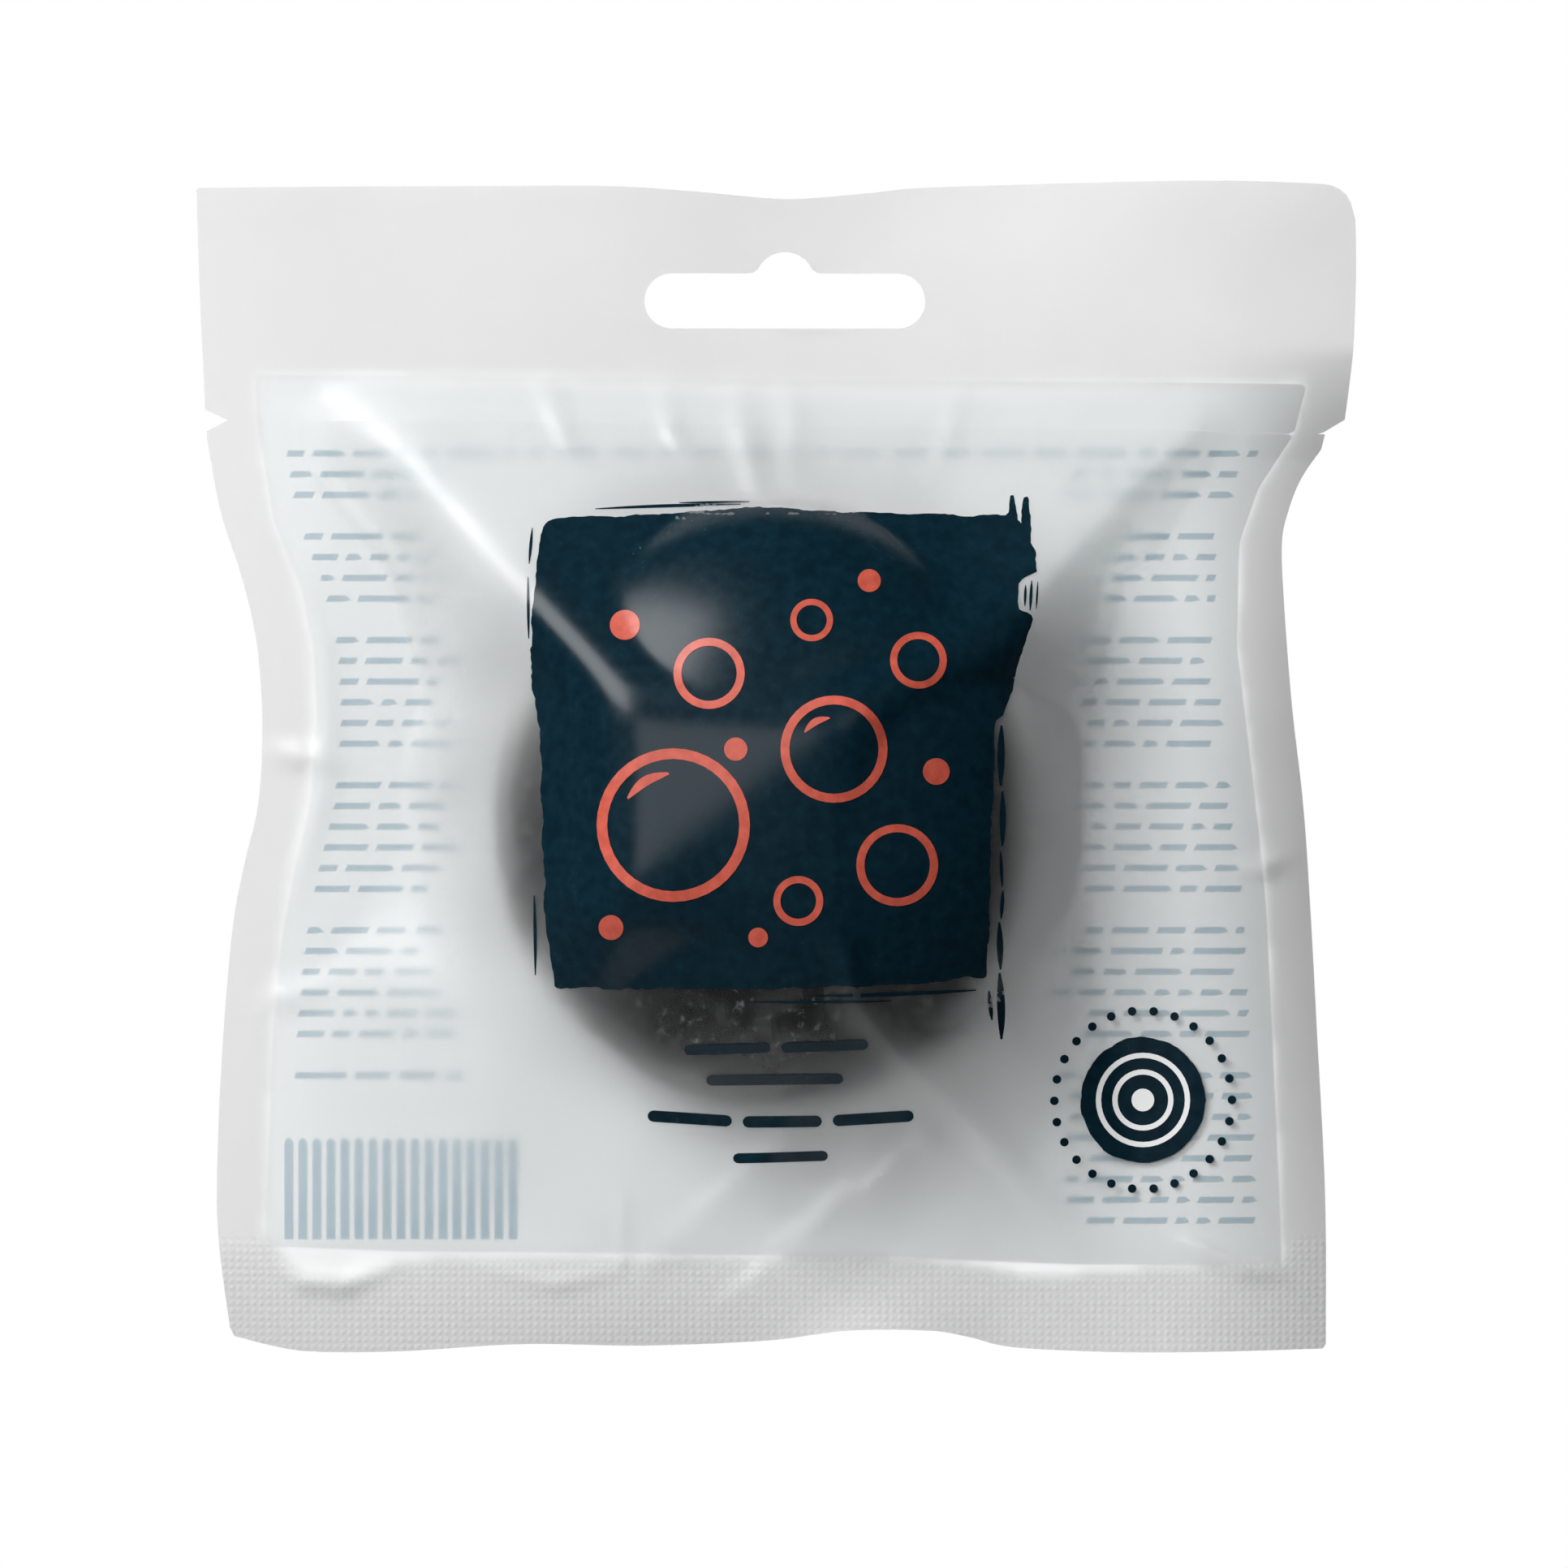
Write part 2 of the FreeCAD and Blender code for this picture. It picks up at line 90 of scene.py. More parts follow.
room_strength, least_strength = 0.225, 0.03
right_loss, gloss_loss, below_gain = 0.22, 0.18, 0.14
dim_right = sky_sum("MULTIPLY", sky_sum("MAXIMUM", sky_split.outputs["X"], 0.0), right_loss)
dim_gloss = sky_sum("MULTIPLY", sky_ray.outputs["Is Glossy Ray"], gloss_loss)
from_below = sky_sum("MULTIPLY", sky_sum("MINIMUM", sky_split.outputs["Z"], 0.0), -below_gain)
room_light = sky_sum("ADD", room_strength, from_below)
for loss in (dim_right, dim_gloss):
    room_light = sky_sum("SUBTRACT", room_light, loss)
links.new(sky_sum("MAXIMUM", room_light, least_strength), sky_light.inputs["Strength"])
straight_through = sky_sum("MULTIPLY", sky_ray.outputs["Is Transmission Ray"],
                           sky_sum("LESS_THAN", sky_ray.outputs["Glossy Depth"], 0.5))
sky_behind = nodes.new("ShaderNodeMapRange")
sky_behind.inputs["From Min"].default_value = 0.25
sky_behind.inputs["From Max"].default_value = 0.65
links.new(sky_split.outputs["Y"], sky_behind.inputs["Value"])
backdrop_gloss = sky_sum("MULTIPLY", sky_ray.outputs["Is Glossy Ray"], sky_behind.outputs["Result"])
bright_rays = sky_sum("MAXIMUM", straight_through, backdrop_gloss)
bright_rays = sky_sum("MAXIMUM", sky_ray.outputs["Is Camera Ray"], bright_rays)
links.new(bright_rays, sky_mix.inputs["Fac"])
links.new(sky_light.outputs[0], sky_mix.inputs[1])
links.new(sky_seen.outputs[0], sky_mix.inputs[2])
links.new(sky_mix.outputs[0], sky_out.inputs["Surface"])

lamp_aim = Vector((0, 0, -0.06))
for lamp_name, place, size, watts in (
    ("key_lamp", (-0.70, -0.74, 0.68), 0.65, 17.6),
    ("front_lamp", (-0.30, -1.35, 0.13), 0.4, 2.6),
    ("fill_lamp", (0.45, -1.25, 0.45), 0.6, 1.2),
    ("back_lamp", (0.35, 0.9, 0.5), 0.8, 7.0),
):
    bpy.ops.object.light_add(type="AREA", location=place)
    lamp = bpy.context.object
    lamp.name = lamp_name
    lamp.data.size = size
    lamp.data.energy = watts
    lamp.rotation_euler = (lamp_aim - Vector(place)).to_track_quat("-Z", "Y").to_euler()
    lamp.visible_camera = False
    lamp.visible_transmission = False


def mottled(name, scale, detail, stops):
    """A material coloured by noise between stops of place and colour, with its shader and its noise."""
    material = bpy.data.materials.new(name)
    material.use_nodes = True
    nodes, links = material.node_tree.nodes, material.node_tree.links
    shader = nodes["Principled BSDF"]
    place_node = nodes.new("ShaderNodeTexCoord")
    noise = nodes.new("ShaderNodeTexNoise")
    noise.inputs["Scale"].default_value = scale
    noise.inputs["Detail"].default_value = detail
    ramp = nodes.new("ShaderNodeValToRGB")
    for element, (place, colour) in zip(ramp.color_ramp.elements, (stops[0], stops[-1])):
        element.position = place
        element.color = (*colour, 1)
    for place, colour in stops[1:-1]:
        ramp.color_ramp.elements.new(place).color = (*colour, 1)
    links.new(place_node.outputs["Object"], noise.inputs["Vector"])
    links.new(noise.outputs["Fac"], ramp.inputs["Fac"])
    links.new(ramp.outputs["Color"], shader.inputs["Base Color"])
    return material, shader, noise


floor_radius, floor_level = 0.2, -0.45
bpy.ops.object.select_all(action="DESELECT")
bpy.ops.mesh.primitive_circle_add(vertices=96, radius=floor_radius, fill_type="NGON",
                                  location=(0, 0, floor_level))
floor = bpy.context.object
floor.name = "floor"
bpy.ops.object.transform_apply(location=True, rotation=True, scale=True)
floor_paint, shader, _ = mottled("pale_floor", 9, 2, ((0, (0.82, 0.82, 0.82)), (1, (0.86, 0.86, 0.86))))
shader.inputs["Roughness"].default_value = 0.8
floor.data.materials.append(floor_paint)

# Sponge: a half ball of dried konjac fibre dark with charcoal, cast with a flat base and a round
# rim. It lies loose in the pouch with its dome forward. Open pores of many sizes cover it.
MM = 0.001
sponge_centre = (-1.4, -62.5)
sponge_forward = 4.5
sponge_radius = 32.0
rim_radius = 7.0
shoulder_radius = 14.0
dome_rise = 20.0
sponge_travel = 6.0
crown_radius = 44.0
crown_edge = 26.4


def dome_depth(reach):
    """How far the dome stands forward of the seals' plane, for a reach from its centre line, in mm."""
    crown = np.sqrt(np.maximum(crown_radius ** 2 - reach ** 2, 0)) - (crown_radius - dome_rise)
    neck = sponge_radius - shoulder_radius
    shoulder = np.sqrt(np.maximum(shoulder_radius ** 2 - np.maximum(reach - neck, 0) ** 2, 0))
    return sponge_forward + np.where(reach < crown_edge, crown, shoulder)


profile = []
for share in np.linspace(0, 1, 200):
    reach = sponge_radius * math.sin(share * math.pi / 2)
    profile.append((reach, -float(dome_depth(np.array(reach)))))
for share in np.linspace(0.004, 1, 60):
    turn = share * math.pi / 2
    profile.append((sponge_radius - rim_radius + rim_radius * math.cos(turn),
                    rim_radius * math.sin(turn) - sponge_forward))
for share in np.linspace(0.02, 1, 40):
    profile.append(((sponge_radius - rim_radius) * (1 - share), rim_radius - sponge_forward))
profile = np.array(profile)
run = np.concatenate([[0], np.cumsum(np.hypot(*np.diff(profile, axis=0).T))])
run /= run[-1]

bpy.ops.object.select_all(action="DESELECT")
bpy.ops.mesh.primitive_ico_sphere_add(subdivisions=7, radius=1)
sponge = bpy.context.object
sponge.name = "konjac_sponge"
ball = np.empty(len(sponge.data.vertices) * 3)
sponge.data.vertices.foreach_get("co", ball)
ball = ball.reshape(-1, 3)
polar = np.arccos(np.clip(-ball[:, 1], -1, 1)) / math.pi
round_angle = np.arctan2(ball[:, 2], ball[:, 0])
shrink = 0.995
reach = np.interp(polar, run, profile[:, 0]) * shrink
depth = np.interp(polar, run, profile[:, 1])
place = np.stack([
    sponge_centre[0] + reach * np.cos(round_angle),
    depth,
    sponge_centre[1] + reach * np.sin(round_angle),
], axis=1)
sponge.data.vertices.foreach_set("co", (place * MM).ravel())
sponge.data.update()
for texture_name, kind, grain, depth_mm in (
    ("lump", "CLOUDS", 0.006, 0.5),
    ("pore", "VORONOI", 0.0022, 1.2),
    ("grain", "CLOUDS", 0.0011, 0.55),
):
    texture = bpy.data.textures.new("sponge_" + texture_name, kind)
    texture.noise_scale = grain
    press = sponge.modifiers.new(texture_name, "DISPLACE")
    press.texture = texture
    press.texture_coords = "LOCAL"
    press.mid_level = 1.0
    press.strength = depth_mm * MM
    bpy.ops.object.modifier_apply(modifier=texture_name)
bpy.ops.object.shade_smooth()

fibre_stops = ((0.36, (0.003, 0.0033, 0.0036)), (0.57, (0.011, 0.0115, 0.012)), (0.66, (0.19, 0.192, 0.195)))
charcoal, shader, fibre = mottled("charcoal_konjac", 900, 6, fibre_stops)
fibre.inputs["Roughness"].default_value = 0.7
shader.inputs["Roughness"].default_value = 0.9
shader.inputs["Specular IOR Level"].default_value = 0.06
nodes, links = charcoal.node_tree.nodes, charcoal.node_tree.links
bump = nodes.new("ShaderNodeBump")
bump.inputs["Strength"].default_value = 0.6
bump.inputs["Distance"].default_value = 0.0004
links.new(fibre.outputs["Fac"], bump.inputs["Height"])
links.new(bump.outputs["Normal"], shader.inputs["Normal"])
sponge.data.materials.append(charcoal)
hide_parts("sponge")
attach(sponge, "sponge_ball")

# Back film of the pouch: frosted film cut with the front one, welded to it along both sides and
# the bottom, flat where the sponge's base presses on it and drawn into soft folds to the corners.
film_gauge = 0.12
film_half_gap = 0.12
raster_step = 0.5
raster_x = np.arange(-72, 72.01, raster_step)
raster_z = np.arange(-128, 16.01, raster_step)
mesh_x, mesh_z = np.meshgrid(raster_x, raster_z)


def flowing(points, parts=8):
    """A smooth line through the points, as rows of x and z in mm."""
    row = np.array(points, float)
    row = np.vstack([2 * row[0] - row[1], row, 2 * row[-1] - row[-2]])
    out = []
    for i in range(1, len(row) - 2):
        a, b, c, d = row[i - 1:i + 3]
        for t in np.arange(parts) / parts:
            out.append(0.5 * (2 * b + (c - a) * t + (2 * a - 5 * b + 4 * c - d) * t ** 2
                              + (3 * b - a - 3 * c + d) * t ** 3))
    out.append(row[-2])
    return np.array(out)


def even(line, step):
    """The same line with its points at an even spacing near the step."""
    run = np.concatenate([[0], np.cumsum(np.hypot(*np.diff(line, axis=0).T))])
    at = np.linspace(0, run[-1], max(2, round(run[-1] / step) + 1))
    return np.stack([np.interp(at, run, line[:, 0]), np.interp(at, run, line[:, 1])], axis=1)


def closed(ring, step):
    """A closed ring with its points at an even spacing near the step."""
    ring = np.array(ring)
    return even(np.vstack([ring, ring[:1]]), step)[:-1]


def level(points):
    """A fold line that lies in the plane of the seals."""
    return [(x, z, 0) for x, z in points]


def risen(value, low, high):
    """The share of the way from low to high, held between 0 and 1."""
    return np.clip((value - low) / (high - low), 0, 1)


def folded(lines, soften):
    """Heights of a sheet creased along lines of x, z and height, with its creases softened, in mm."""
    margin, touch = 0.6, -1e-6
    spots, edges = [], []
    for line in lines:
        first = len(spots)
        spots += list(line)
        edges += [(first + i, first + i + 1) for i in range(len(line) - 1)]
    flat = [Vector((s[0], s[1])) for s in spots]
    verts, _, faces, origin = delaunay_2d_cdt(flat, edges, [], 0, 1e-4)[:4]
    height = np.zeros_like(mesh_x)
    for face in faces:
        (ax, az), (bx, bz), (cx, cz) = [verts[i][:] for i in face]
        ha, hb, hc = [spots[origin[i][0]][2] for i in face]
        i0, i1 = np.searchsorted(raster_z, (min(az, bz, cz) - margin, max(az, bz, cz) + margin))
        j0, j1 = np.searchsorted(raster_x, (min(ax, bx, cx) - margin, max(ax, bx, cx) + margin))
        px, pz = mesh_x[i0:i1, j0:j1], mesh_z[i0:i1, j0:j1]
        whole = (bx - ax) * (cz - az) - (cx - ax) * (bz - az)
        u = ((bx - px) * (cz - pz) - (cx - px) * (bz - pz)) / whole
        v = ((cx - px) * (az - pz) - (ax - px) * (cz - pz)) / whole
        w = 1 - u - v
        inside = (u > touch) & (v > touch) & (w > touch)
        height[i0:i1, j0:j1][inside] = (u * ha + v * hb + w * hc)[inside]
    return softened(height, soften)


def softened(height, reach):
    """Heights blurred over a reach in mm."""
    count = int(3 * reach / raster_step) + 1
    weights = np.exp(-0.5 * (np.arange(-count, count + 1) * raster_step / reach) ** 2)
    weights /= weights.sum()
    padded = np.pad(height, count, mode="edge")
    padded = np.apply_along_axis(lambda m: np.convolve(m, weights, "valid"), 0, padded)
    return np.apply_along_axis(lambda m: np.convolve(m, weights, "valid"), 1, padded)


def over(height, body, ease):
    """Heights lifted to clear a body, with an eased join."""
    return 0.5 * (height + body + np.sqrt((height - body) ** 2 + ease ** 2))


def sample(height, x, z):
    """Heights read between the raster's points."""
    u = np.clip((np.asarray(x) - raster_x[0]) / raster_step, 0, len(raster_x) - 1.001)
    v = np.clip((np.asarray(z) - raster_z[0]) / raster_step, 0, len(raster_z) - 1.001)
    i, j = v.astype(int), u.astype(int)
    p, q = v - i, u - j
    return ((1 - p) * ((1 - q) * height[i, j] + q * height[i, j + 1])
            + p * ((1 - q) * height[i + 1, j] + q * height[i + 1, j + 1]))


def within(x, z, ring):
    """Which points lie inside a closed ring of x and z."""
    inside = np.zeros(len(x), bool)
    for (ax, az), (bx, bz) in zip(ring, np.roll(ring, -1, axis=0)):
        if az != bz:
            crosses = (az > z) != (bz > z)
            inside ^= crosses & (x < (bx - ax) * (z - az) / (bz - az) + ax)
    return inside


def cut_sheet(name, shapes, height_at, step, gauge):
    """A thin sheet cut to rings with their holes, at the heights and with the gauge given in mm."""
    clear_share = 0.55
    places, faces = [], []
    for ring, holes in shapes:
        spots, edges = [], []
        for loop in [ring] + list(holes):
            first = len(spots)
            spots += [tuple(p) for p in loop]
            edges += [(first + i, first + (i + 1) % len(loop)) for i in range(len(loop))]
        rim = np.array(spots)
        low, high = rim.min(axis=0), rim.max(axis=0)
        gx, gz = np.meshgrid(*[np.arange(low[i] + step / 2, high[i], step) for i in (0, 1)])
        gx, gz = gx.ravel(), gz.ravel()
        near = np.full(len(gx), 1e9)
        for p in rim:
            near = np.minimum(near, (gx - p[0]) ** 2 + (gz - p[1]) ** 2)
        keep = cut_out(gx, gz, ring, holes) & (near > (clear_share * step) ** 2)
        spots += list(zip(gx[keep], gz[keep]))
        verts, _, tris = delaunay_2d_cdt([Vector(p) for p in spots], edges, [], 1, 1e-4)[:3]
        flat = np.array([v[:] for v in verts])
        tris = np.array(tris)
        middle = flat[tris].mean(axis=1)
        tris = tris[cut_out(middle[:, 0], middle[:, 1], ring, holes)]
        faces.append(tris + sum(len(part) for part in places))
        places.append(flat)
    flat, faces = np.vstack(places), np.vstack(faces)
    mesh = bpy.data.meshes.new(name)
    solid = np.stack([flat[:, 0], height_at(flat[:, 0], flat[:, 1]), flat[:, 1]], axis=1)
    mesh.from_pydata(solid * MM, [], faces.tolist())
    piece = bpy.data.objects.new(name, mesh)
    bpy.context.collection.objects.link(piece)
    bpy.ops.object.select_all(action="DESELECT")
    piece.select_set(True)
    bpy.context.view_layer.objects.active = piece
    bpy.ops.object.mode_set(mode="EDIT")
    bpy.ops.mesh.select_all(action="SELECT")
    bpy.ops.mesh.delete_loose()
    bpy.ops.mesh.select_all(action="SELECT")
    bpy.ops.mesh.normals_make_consistent(inside=False)
    bpy.ops.object.mode_set(mode="OBJECT")
    wall = piece.modifiers.new("gauge", "SOLIDIFY")
    wall.thickness = gauge * MM
    wall.offset = 0
    bpy.ops.object.modifier_apply(modifier="gauge")
    bpy.ops.object.shade_smooth_by_angle(angle=math.radians(50))
    return piece


def cut_out(x, z, ring, holes):
    """Which points lie in a ring and in none of its holes."""
    keep = within(x, z, np.array(ring))
    for hole in holes:
        keep &= ~within(x, z, np.array(hole))
    return keep


left_edge = [
    (-66.1, -17.1), (-65.9, -18.8), (-64.5, -26.3), (-62.1, -33.7), (-60.4, -41.1), (-59.7, -50.4),
    (-60.2, -59.6), (-61.9, -67.1), (-63.2, -74.5), (-64.4, -89.3), (-64.9, -102.3), (-64.7, -109.7),
    (-63.5, -119.6),
]
bottom_edge = [
    (-63.0, -120.6), (-57.7, -121.9), (-53.1, -122.4), (-43.8, -122.3), (-29.9, -121.5),
    (-16.0, -121.7), (-2.0, -121.1), (7.2, -119.9), (16.5, -119.9), (21.2, -120.7), (25.8, -121.8),
    (35.1, -122.3), (44.3, -122.4), (61.6, -122.1),
]
right_edge = [
    (62.0, -121.6), (61.9, -104.2), (61.0, -85.6), (60.2, -70.8), (59.4, -59.6), (58.1, -48.5),
    (57.2, -37.4), (56.9, -30.0), (57.6, -26.3), (59.1, -22.5), (61.5, -19.0),
]
left_root, right_root = (-63.7, -15.82), (61.9, -17.32)
film_step = 0.7
pouch_ring = np.vstack([
    even(flowing(left_edge), film_step),
    even(flowing(bottom_edge), film_step),
    even(flowing(right_edge), film_step),
    even(np.array([right_root, left_root]), film_step),
])
rim_line = left_edge + bottom_edge + right_edge + [(70, 12), (-70, 12), (-66.1, -17.1)]
seal_line = [
    (-60.2, -10.7), (-59.8, -19.8), (-58.6, -27.2), (-55.5, -35.0), (-54.0, -42.0), (-53.6, -50.0),
    (-54.4, -59.6), (-56.2, -67.1), (-57.6, -74.5), (-58.6, -84.2), (-59.0, -93.0), (-59.3, -102.3),
    (-59.6, -108.8), (-55.1, -113.6), (-48.2, -114.2), (-43.3, -112.2), (-34.0, -111.5),
    (-24.8, -111.5), (-15.5, -111.8), (-4.8, -111.8), (3.1, -111.3), (10.5, -111.3), (19.8, -112.3),
    (26.5, -113.5), (33.7, -113.5), (47.6, -112.5), (57.1, -112.3), (56.4, -95.0), (55.3, -71.7),
    (54.4, -62.4), (51.9, -41.4), (52.2, -29.7), (54.4, -23.5), (58.4, -17.3), (59.6, -11.4),
    (40.2, -12.2), (26.3, -12.3), (12.3, -12.5), (0.0, -12.3), (-12.7, -11.9), (-25.7, -11.4),
    (-37.8, -11.2), (-49.8, -10.7), (-60.2, -10.7),
]


def sponge_reach(x, z, travel):
    """Reach of points from the line along which the sponge's centre can slide, in mm."""
    low = sponge_centre[1]
    return np.hypot(x - sponge_centre[0], z - np.clip(z, low, low + travel))


def wave_at(x, z):
    """How far back the whole pouch bends, in mm: its right side and foot hang back and its top waves."""
    right_bend, left_bend, top_bend, foot_bend = 6.2, 0.8, 0.9, 2.2
    x, z = np.asarray(x, float), np.asarray(z, float)
    right = np.clip((x - 46) / 16, 0, 1.5) ** 2 * (0.62 + 0.38 * np.cos((z + 52) / 34))
    left = np.clip((-x - 50) / 16, 0, 1.4) ** 2 * (0.5 + 0.5 * np.cos((z + 55) / 36))
    top = np.clip((z + 14) / 24, 0, 1) * (np.sin(x / 17 + 0.8) * 0.7 + 0.5 * np.sin(x / 9.5))
    foot = np.clip((-110 - z) / 12, 0, 1.1) ** 1.5
    foot = foot * (1 - 0.9 * np.exp(-((x - 11) / 9) ** 2) + 0.25 * np.sin(x / 12 + 2))
    foot = foot * (1 - 0.6 * np.clip((x - 24) / 20, 0, 1))
    calm = 1 - np.clip((z + 20) / 12, 0, 1) * 0.85
    return right_bend * right * calm + left_bend * left + top_bend * top + foot_bend * foot


def tear_line(x):
    """Height of the tear line, which runs straight from one nick to the other."""
    return left_root[1] + (x - left_root[0]) * (right_root[1] - left_root[1]) / (right_root[0] - left_root[0])


# The two sides of the tear line are still one film at rest, so the thin faces between them are clear.
uncut = bpy.data.materials.new("uncut_edge")
uncut.use_nodes = True
uncut.node_tree.nodes.remove(uncut.node_tree.nodes["Principled BSDF"])
uncut_clear = uncut.node_tree.nodes.new("ShaderNodeBsdfTransparent")
uncut.node_tree.links.new(uncut_clear.outputs[0], uncut.node_tree.nodes["Material Output"].inputs["Surface"])


def uncut_edge(piece):
    """Gives the thin faces along the tear line the clear finish."""
    upright, near_tear = 0.7, 0.08
    piece.data.materials.append(uncut)
    for face in piece.data.polygons:
        x, _, z = face.center / MM
        on_tear = abs(z - tear_line(x)) < near_tear and left_root[0] < x < right_root[0]
        if on_tear and abs(face.normal.z) > upright:
            face.material_index = 1


def marked(piece, name, raster):
    """Writes a raster's values on a piece as a named attribute, for its material."""
    spots = np.empty(len(piece.data.vertices) * 3)
    piece.data.vertices.foreach_get("co", spots)
    spots = spots.reshape(-1, 3) / MM
    layer = piece.data.attributes.new(name, "FLOAT", "POINT")
    layer.data.foreach_set("value", sample(raster, spots[:, 0], spots[:, 2]))


def ring_at(reach, height, count):
    """A closed fold line round the sponge's slide, at one reach and height."""
    turn = np.arange(count + 1) / count * math.tau
    x = sponge_centre[0] + reach * np.cos(turn)
    z = sponge_centre[1] + sponge_travel / 2 + (reach + sponge_travel / 2) * np.sin(turn)
    return [(float(p), float(q), height) for p, q in zip(x, z)]


base_depth = rim_radius - sponge_forward
sponge_room = 0.42
flat_depth = base_depth + sponge_room
back_folds = [
    level(rim_line), level(seal_line),
    ring_at(25.0, flat_depth, 20), ring_at(30.0, base_depth + 0.1, 14), ring_at(38.0, 0.7, 12),
    [(-1.4, -59.5, flat_depth), (6.0, -59.5, flat_depth)],
]
base_reach = sponge_reach(mesh_x, mesh_z, sponge_travel)
base_rim = rim_radius ** 2 - np.clip(base_reach - sponge_radius + rim_radius, 0, rim_radius) ** 2
back_height = over(folded(back_folds, 1.6), np.sqrt(base_rim) - sponge_forward + sponge_room, 0.25)


def on_back(lift):
    """Heights for what lies on the back film, lifted off the seals' plane by so many mm."""
    return lambda x, z: wave_at(x, z) + lift + sample(back_height, x, z)


back_film = cut_sheet("back_film_sheet", [(pouch_ring, [])], on_back(film_half_gap), film_step, film_gauge)

weld_ring = np.array(seal_line)
welded = 1.0 - within(mesh_x.ravel(), mesh_z.ravel(), weld_ring).reshape(mesh_x.shape)
welded = softened(welded, 0.5)
weld_clarity, back_clarity = 0.5, 0.985
marked(back_film, "weld_and_shade", welded)
marked(back_film, "clarity", back_clarity + (weld_clarity - back_clarity) * welded)
crimp_top = -109
crimped = softened(welded * (mesh_z < crimp_top), 0.4)
marked(back_film, "crimp", crimped)

frosted = bpy.data.materials.new("frosted_film")
frosted.use_nodes = True
nodes, links = frosted.node_tree.nodes, frosted.node_tree.links
shader = nodes["Principled BSDF"]
shader.inputs["IOR"].default_value = 1.38
place_node = nodes.new("ShaderNodeTexCoord")


def from_mesh(name):
    """The value of one of the film's named attributes."""
    reader = frosted.node_tree.nodes.new("ShaderNodeAttribute")
    reader.attribute_name = name
    return reader.outputs["Fac"]


# The tint greys the film where it is welded. On the front film it also darkens the film where it stands off
# the panel, as painted shade.
tint = nodes.new("ShaderNodeValToRGB")
tint.color_ramp.elements[0].color = (0.945, 0.952, 0.953, 1)
tint.color_ramp.elements[1].color = (0.785, 0.785, 0.78, 1)
links.new(from_mesh("weld_and_shade"), tint.inputs["Fac"])
links.new(tint.outputs["Color"], shader.inputs["Base Color"])
links.new(from_mesh("clarity"), shader.inputs["Transmission Weight"])
knurl_height = from_mesh("crimp")
for direction in ("X", "Z"):
    knurl = nodes.new("ShaderNodeTexWave")
    knurl.bands_direction = direction
    knurl.inputs["Scale"].default_value = 370
    knurl.inputs["Distortion"].default_value = 0.6
    knurl.inputs["Detail"].default_value = 1
    links.new(place_node.outputs["Object"], knurl.inputs["Vector"])
    pressed = nodes.new("ShaderNodeMath")
    pressed.operation = "MULTIPLY"
    links.new(knurl_height, pressed.inputs[0])
    links.new(knurl.outputs["Fac"], pressed.inputs[1])
    knurl_height = pressed.outputs[0]
knurl_bump = nodes.new("ShaderNodeBump")
knurl_bump.inputs["Strength"].default_value = 0.2
knurl_bump.inputs["Distance"].default_value = 0.0002
links.new(knurl_height, knurl_bump.inputs["Height"])
links.new(knurl_bump.outputs["Normal"], shader.inputs["Normal"])
haze = nodes.new("ShaderNodeTexNoise")
haze.inputs["Scale"].default_value = 120
haze.inputs["Detail"].default_value = 3
rough = nodes.new("ShaderNodeMapRange")
rough.inputs["From Min"].default_value = 0.3
rough.inputs["From Max"].default_value = 0.7
rough.inputs["To Min"].default_value = 0.40
rough.inputs["To Max"].default_value = 0.48
links.new(place_node.outputs["Object"], haze.inputs["Vector"])
links.new(haze.outputs["Fac"], rough.inputs["Value"])
smoothed = nodes.new("ShaderNodeMapRange")
smoothed.inputs["To Min"].default_value = 1.0
smoothed.inputs["To Max"].default_value = 0.3
links.new(from_mesh("touch"), smoothed.inputs["Value"])
film_rough = nodes.new("ShaderNodeMath")
film_rough.operation = "MULTIPLY"
links.new(rough.outputs["Result"], film_rough.inputs[0])
links.new(smoothed.outputs["Result"], film_rough.inputs[1])
links.new(film_rough.outputs[0], shader.inputs["Roughness"])
clear = nodes.new("ShaderNodeBsdfTransparent")
clear.inputs["Color"].default_value = (0.945, 0.95, 0.95, 1)
ray = nodes.new("ShaderNodeLightPath")
either = nodes.new("ShaderNodeMath")
either.operation = "MAXIMUM"
mix = nodes.new("ShaderNodeMixShader")
links.new(ray.outputs["Is Shadow Ray"], either.inputs[0])
links.new(ray.outputs["Is Diffuse Ray"], either.inputs[1])
links.new(either.outputs[0], mix.inputs["Fac"])
links.new(shader.outputs[0], mix.inputs[1])
links.new(clear.outputs[0], mix.inputs[2])
links.new(mix.outputs[0], nodes["Material Output"].inputs["Surface"])
back_film.data.materials.append(frosted)
uncut_edge(back_film)
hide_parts("back_film")
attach(back_film, "pouch")

# White panel on the back film: a flood of matt white ink on the outside of the film, inside the
# seals. It keeps the pouch's back bright and opaque behind the sponge.
panel_edge = [
    (-60.3, -15.88), (-59.6, -19.8), (-58.4, -27.2), (-55.3, -35.0), (-53.8, -42.0), (-53.4, -50.0),
    (-54.2, -59.6), (-56.0, -67.1), (-57.4, -74.5), (-58.4, -84.2), (-58.8, -93.0), (-59.1, -102.3),
    (-59.4, -110.2), (-43.3, -110.8), (-15.5, -111.0), (10.5, -111.4), (33.7, -112.3), (56.9, -112.5),
    (56.2, -95.0), (55.1, -71.7), (54.2, -62.4), (51.7, -41.4), (52.0, -29.7), (54.2, -23.5),
    (58.3, -17.3),
]
panel_gap = film_half_gap + film_gauge / 2 + 0.07
panel_step, panel_gauge = 1.0, 0.06
panel_ring = closed(panel_edge, panel_step)
back_panel = cut_sheet("back_white_panel", [(panel_ring, [])], on_back(panel_gap), panel_step, panel_gauge)
white_stops = ((0.3, (0.925, 0.93, 0.925)), (0.7, (0.95, 0.955, 0.95)))
white_ink, shader, _ = mottled("white_ink", 60, 4, white_stops)
shader.inputs["Roughness"].default_value = 0.6
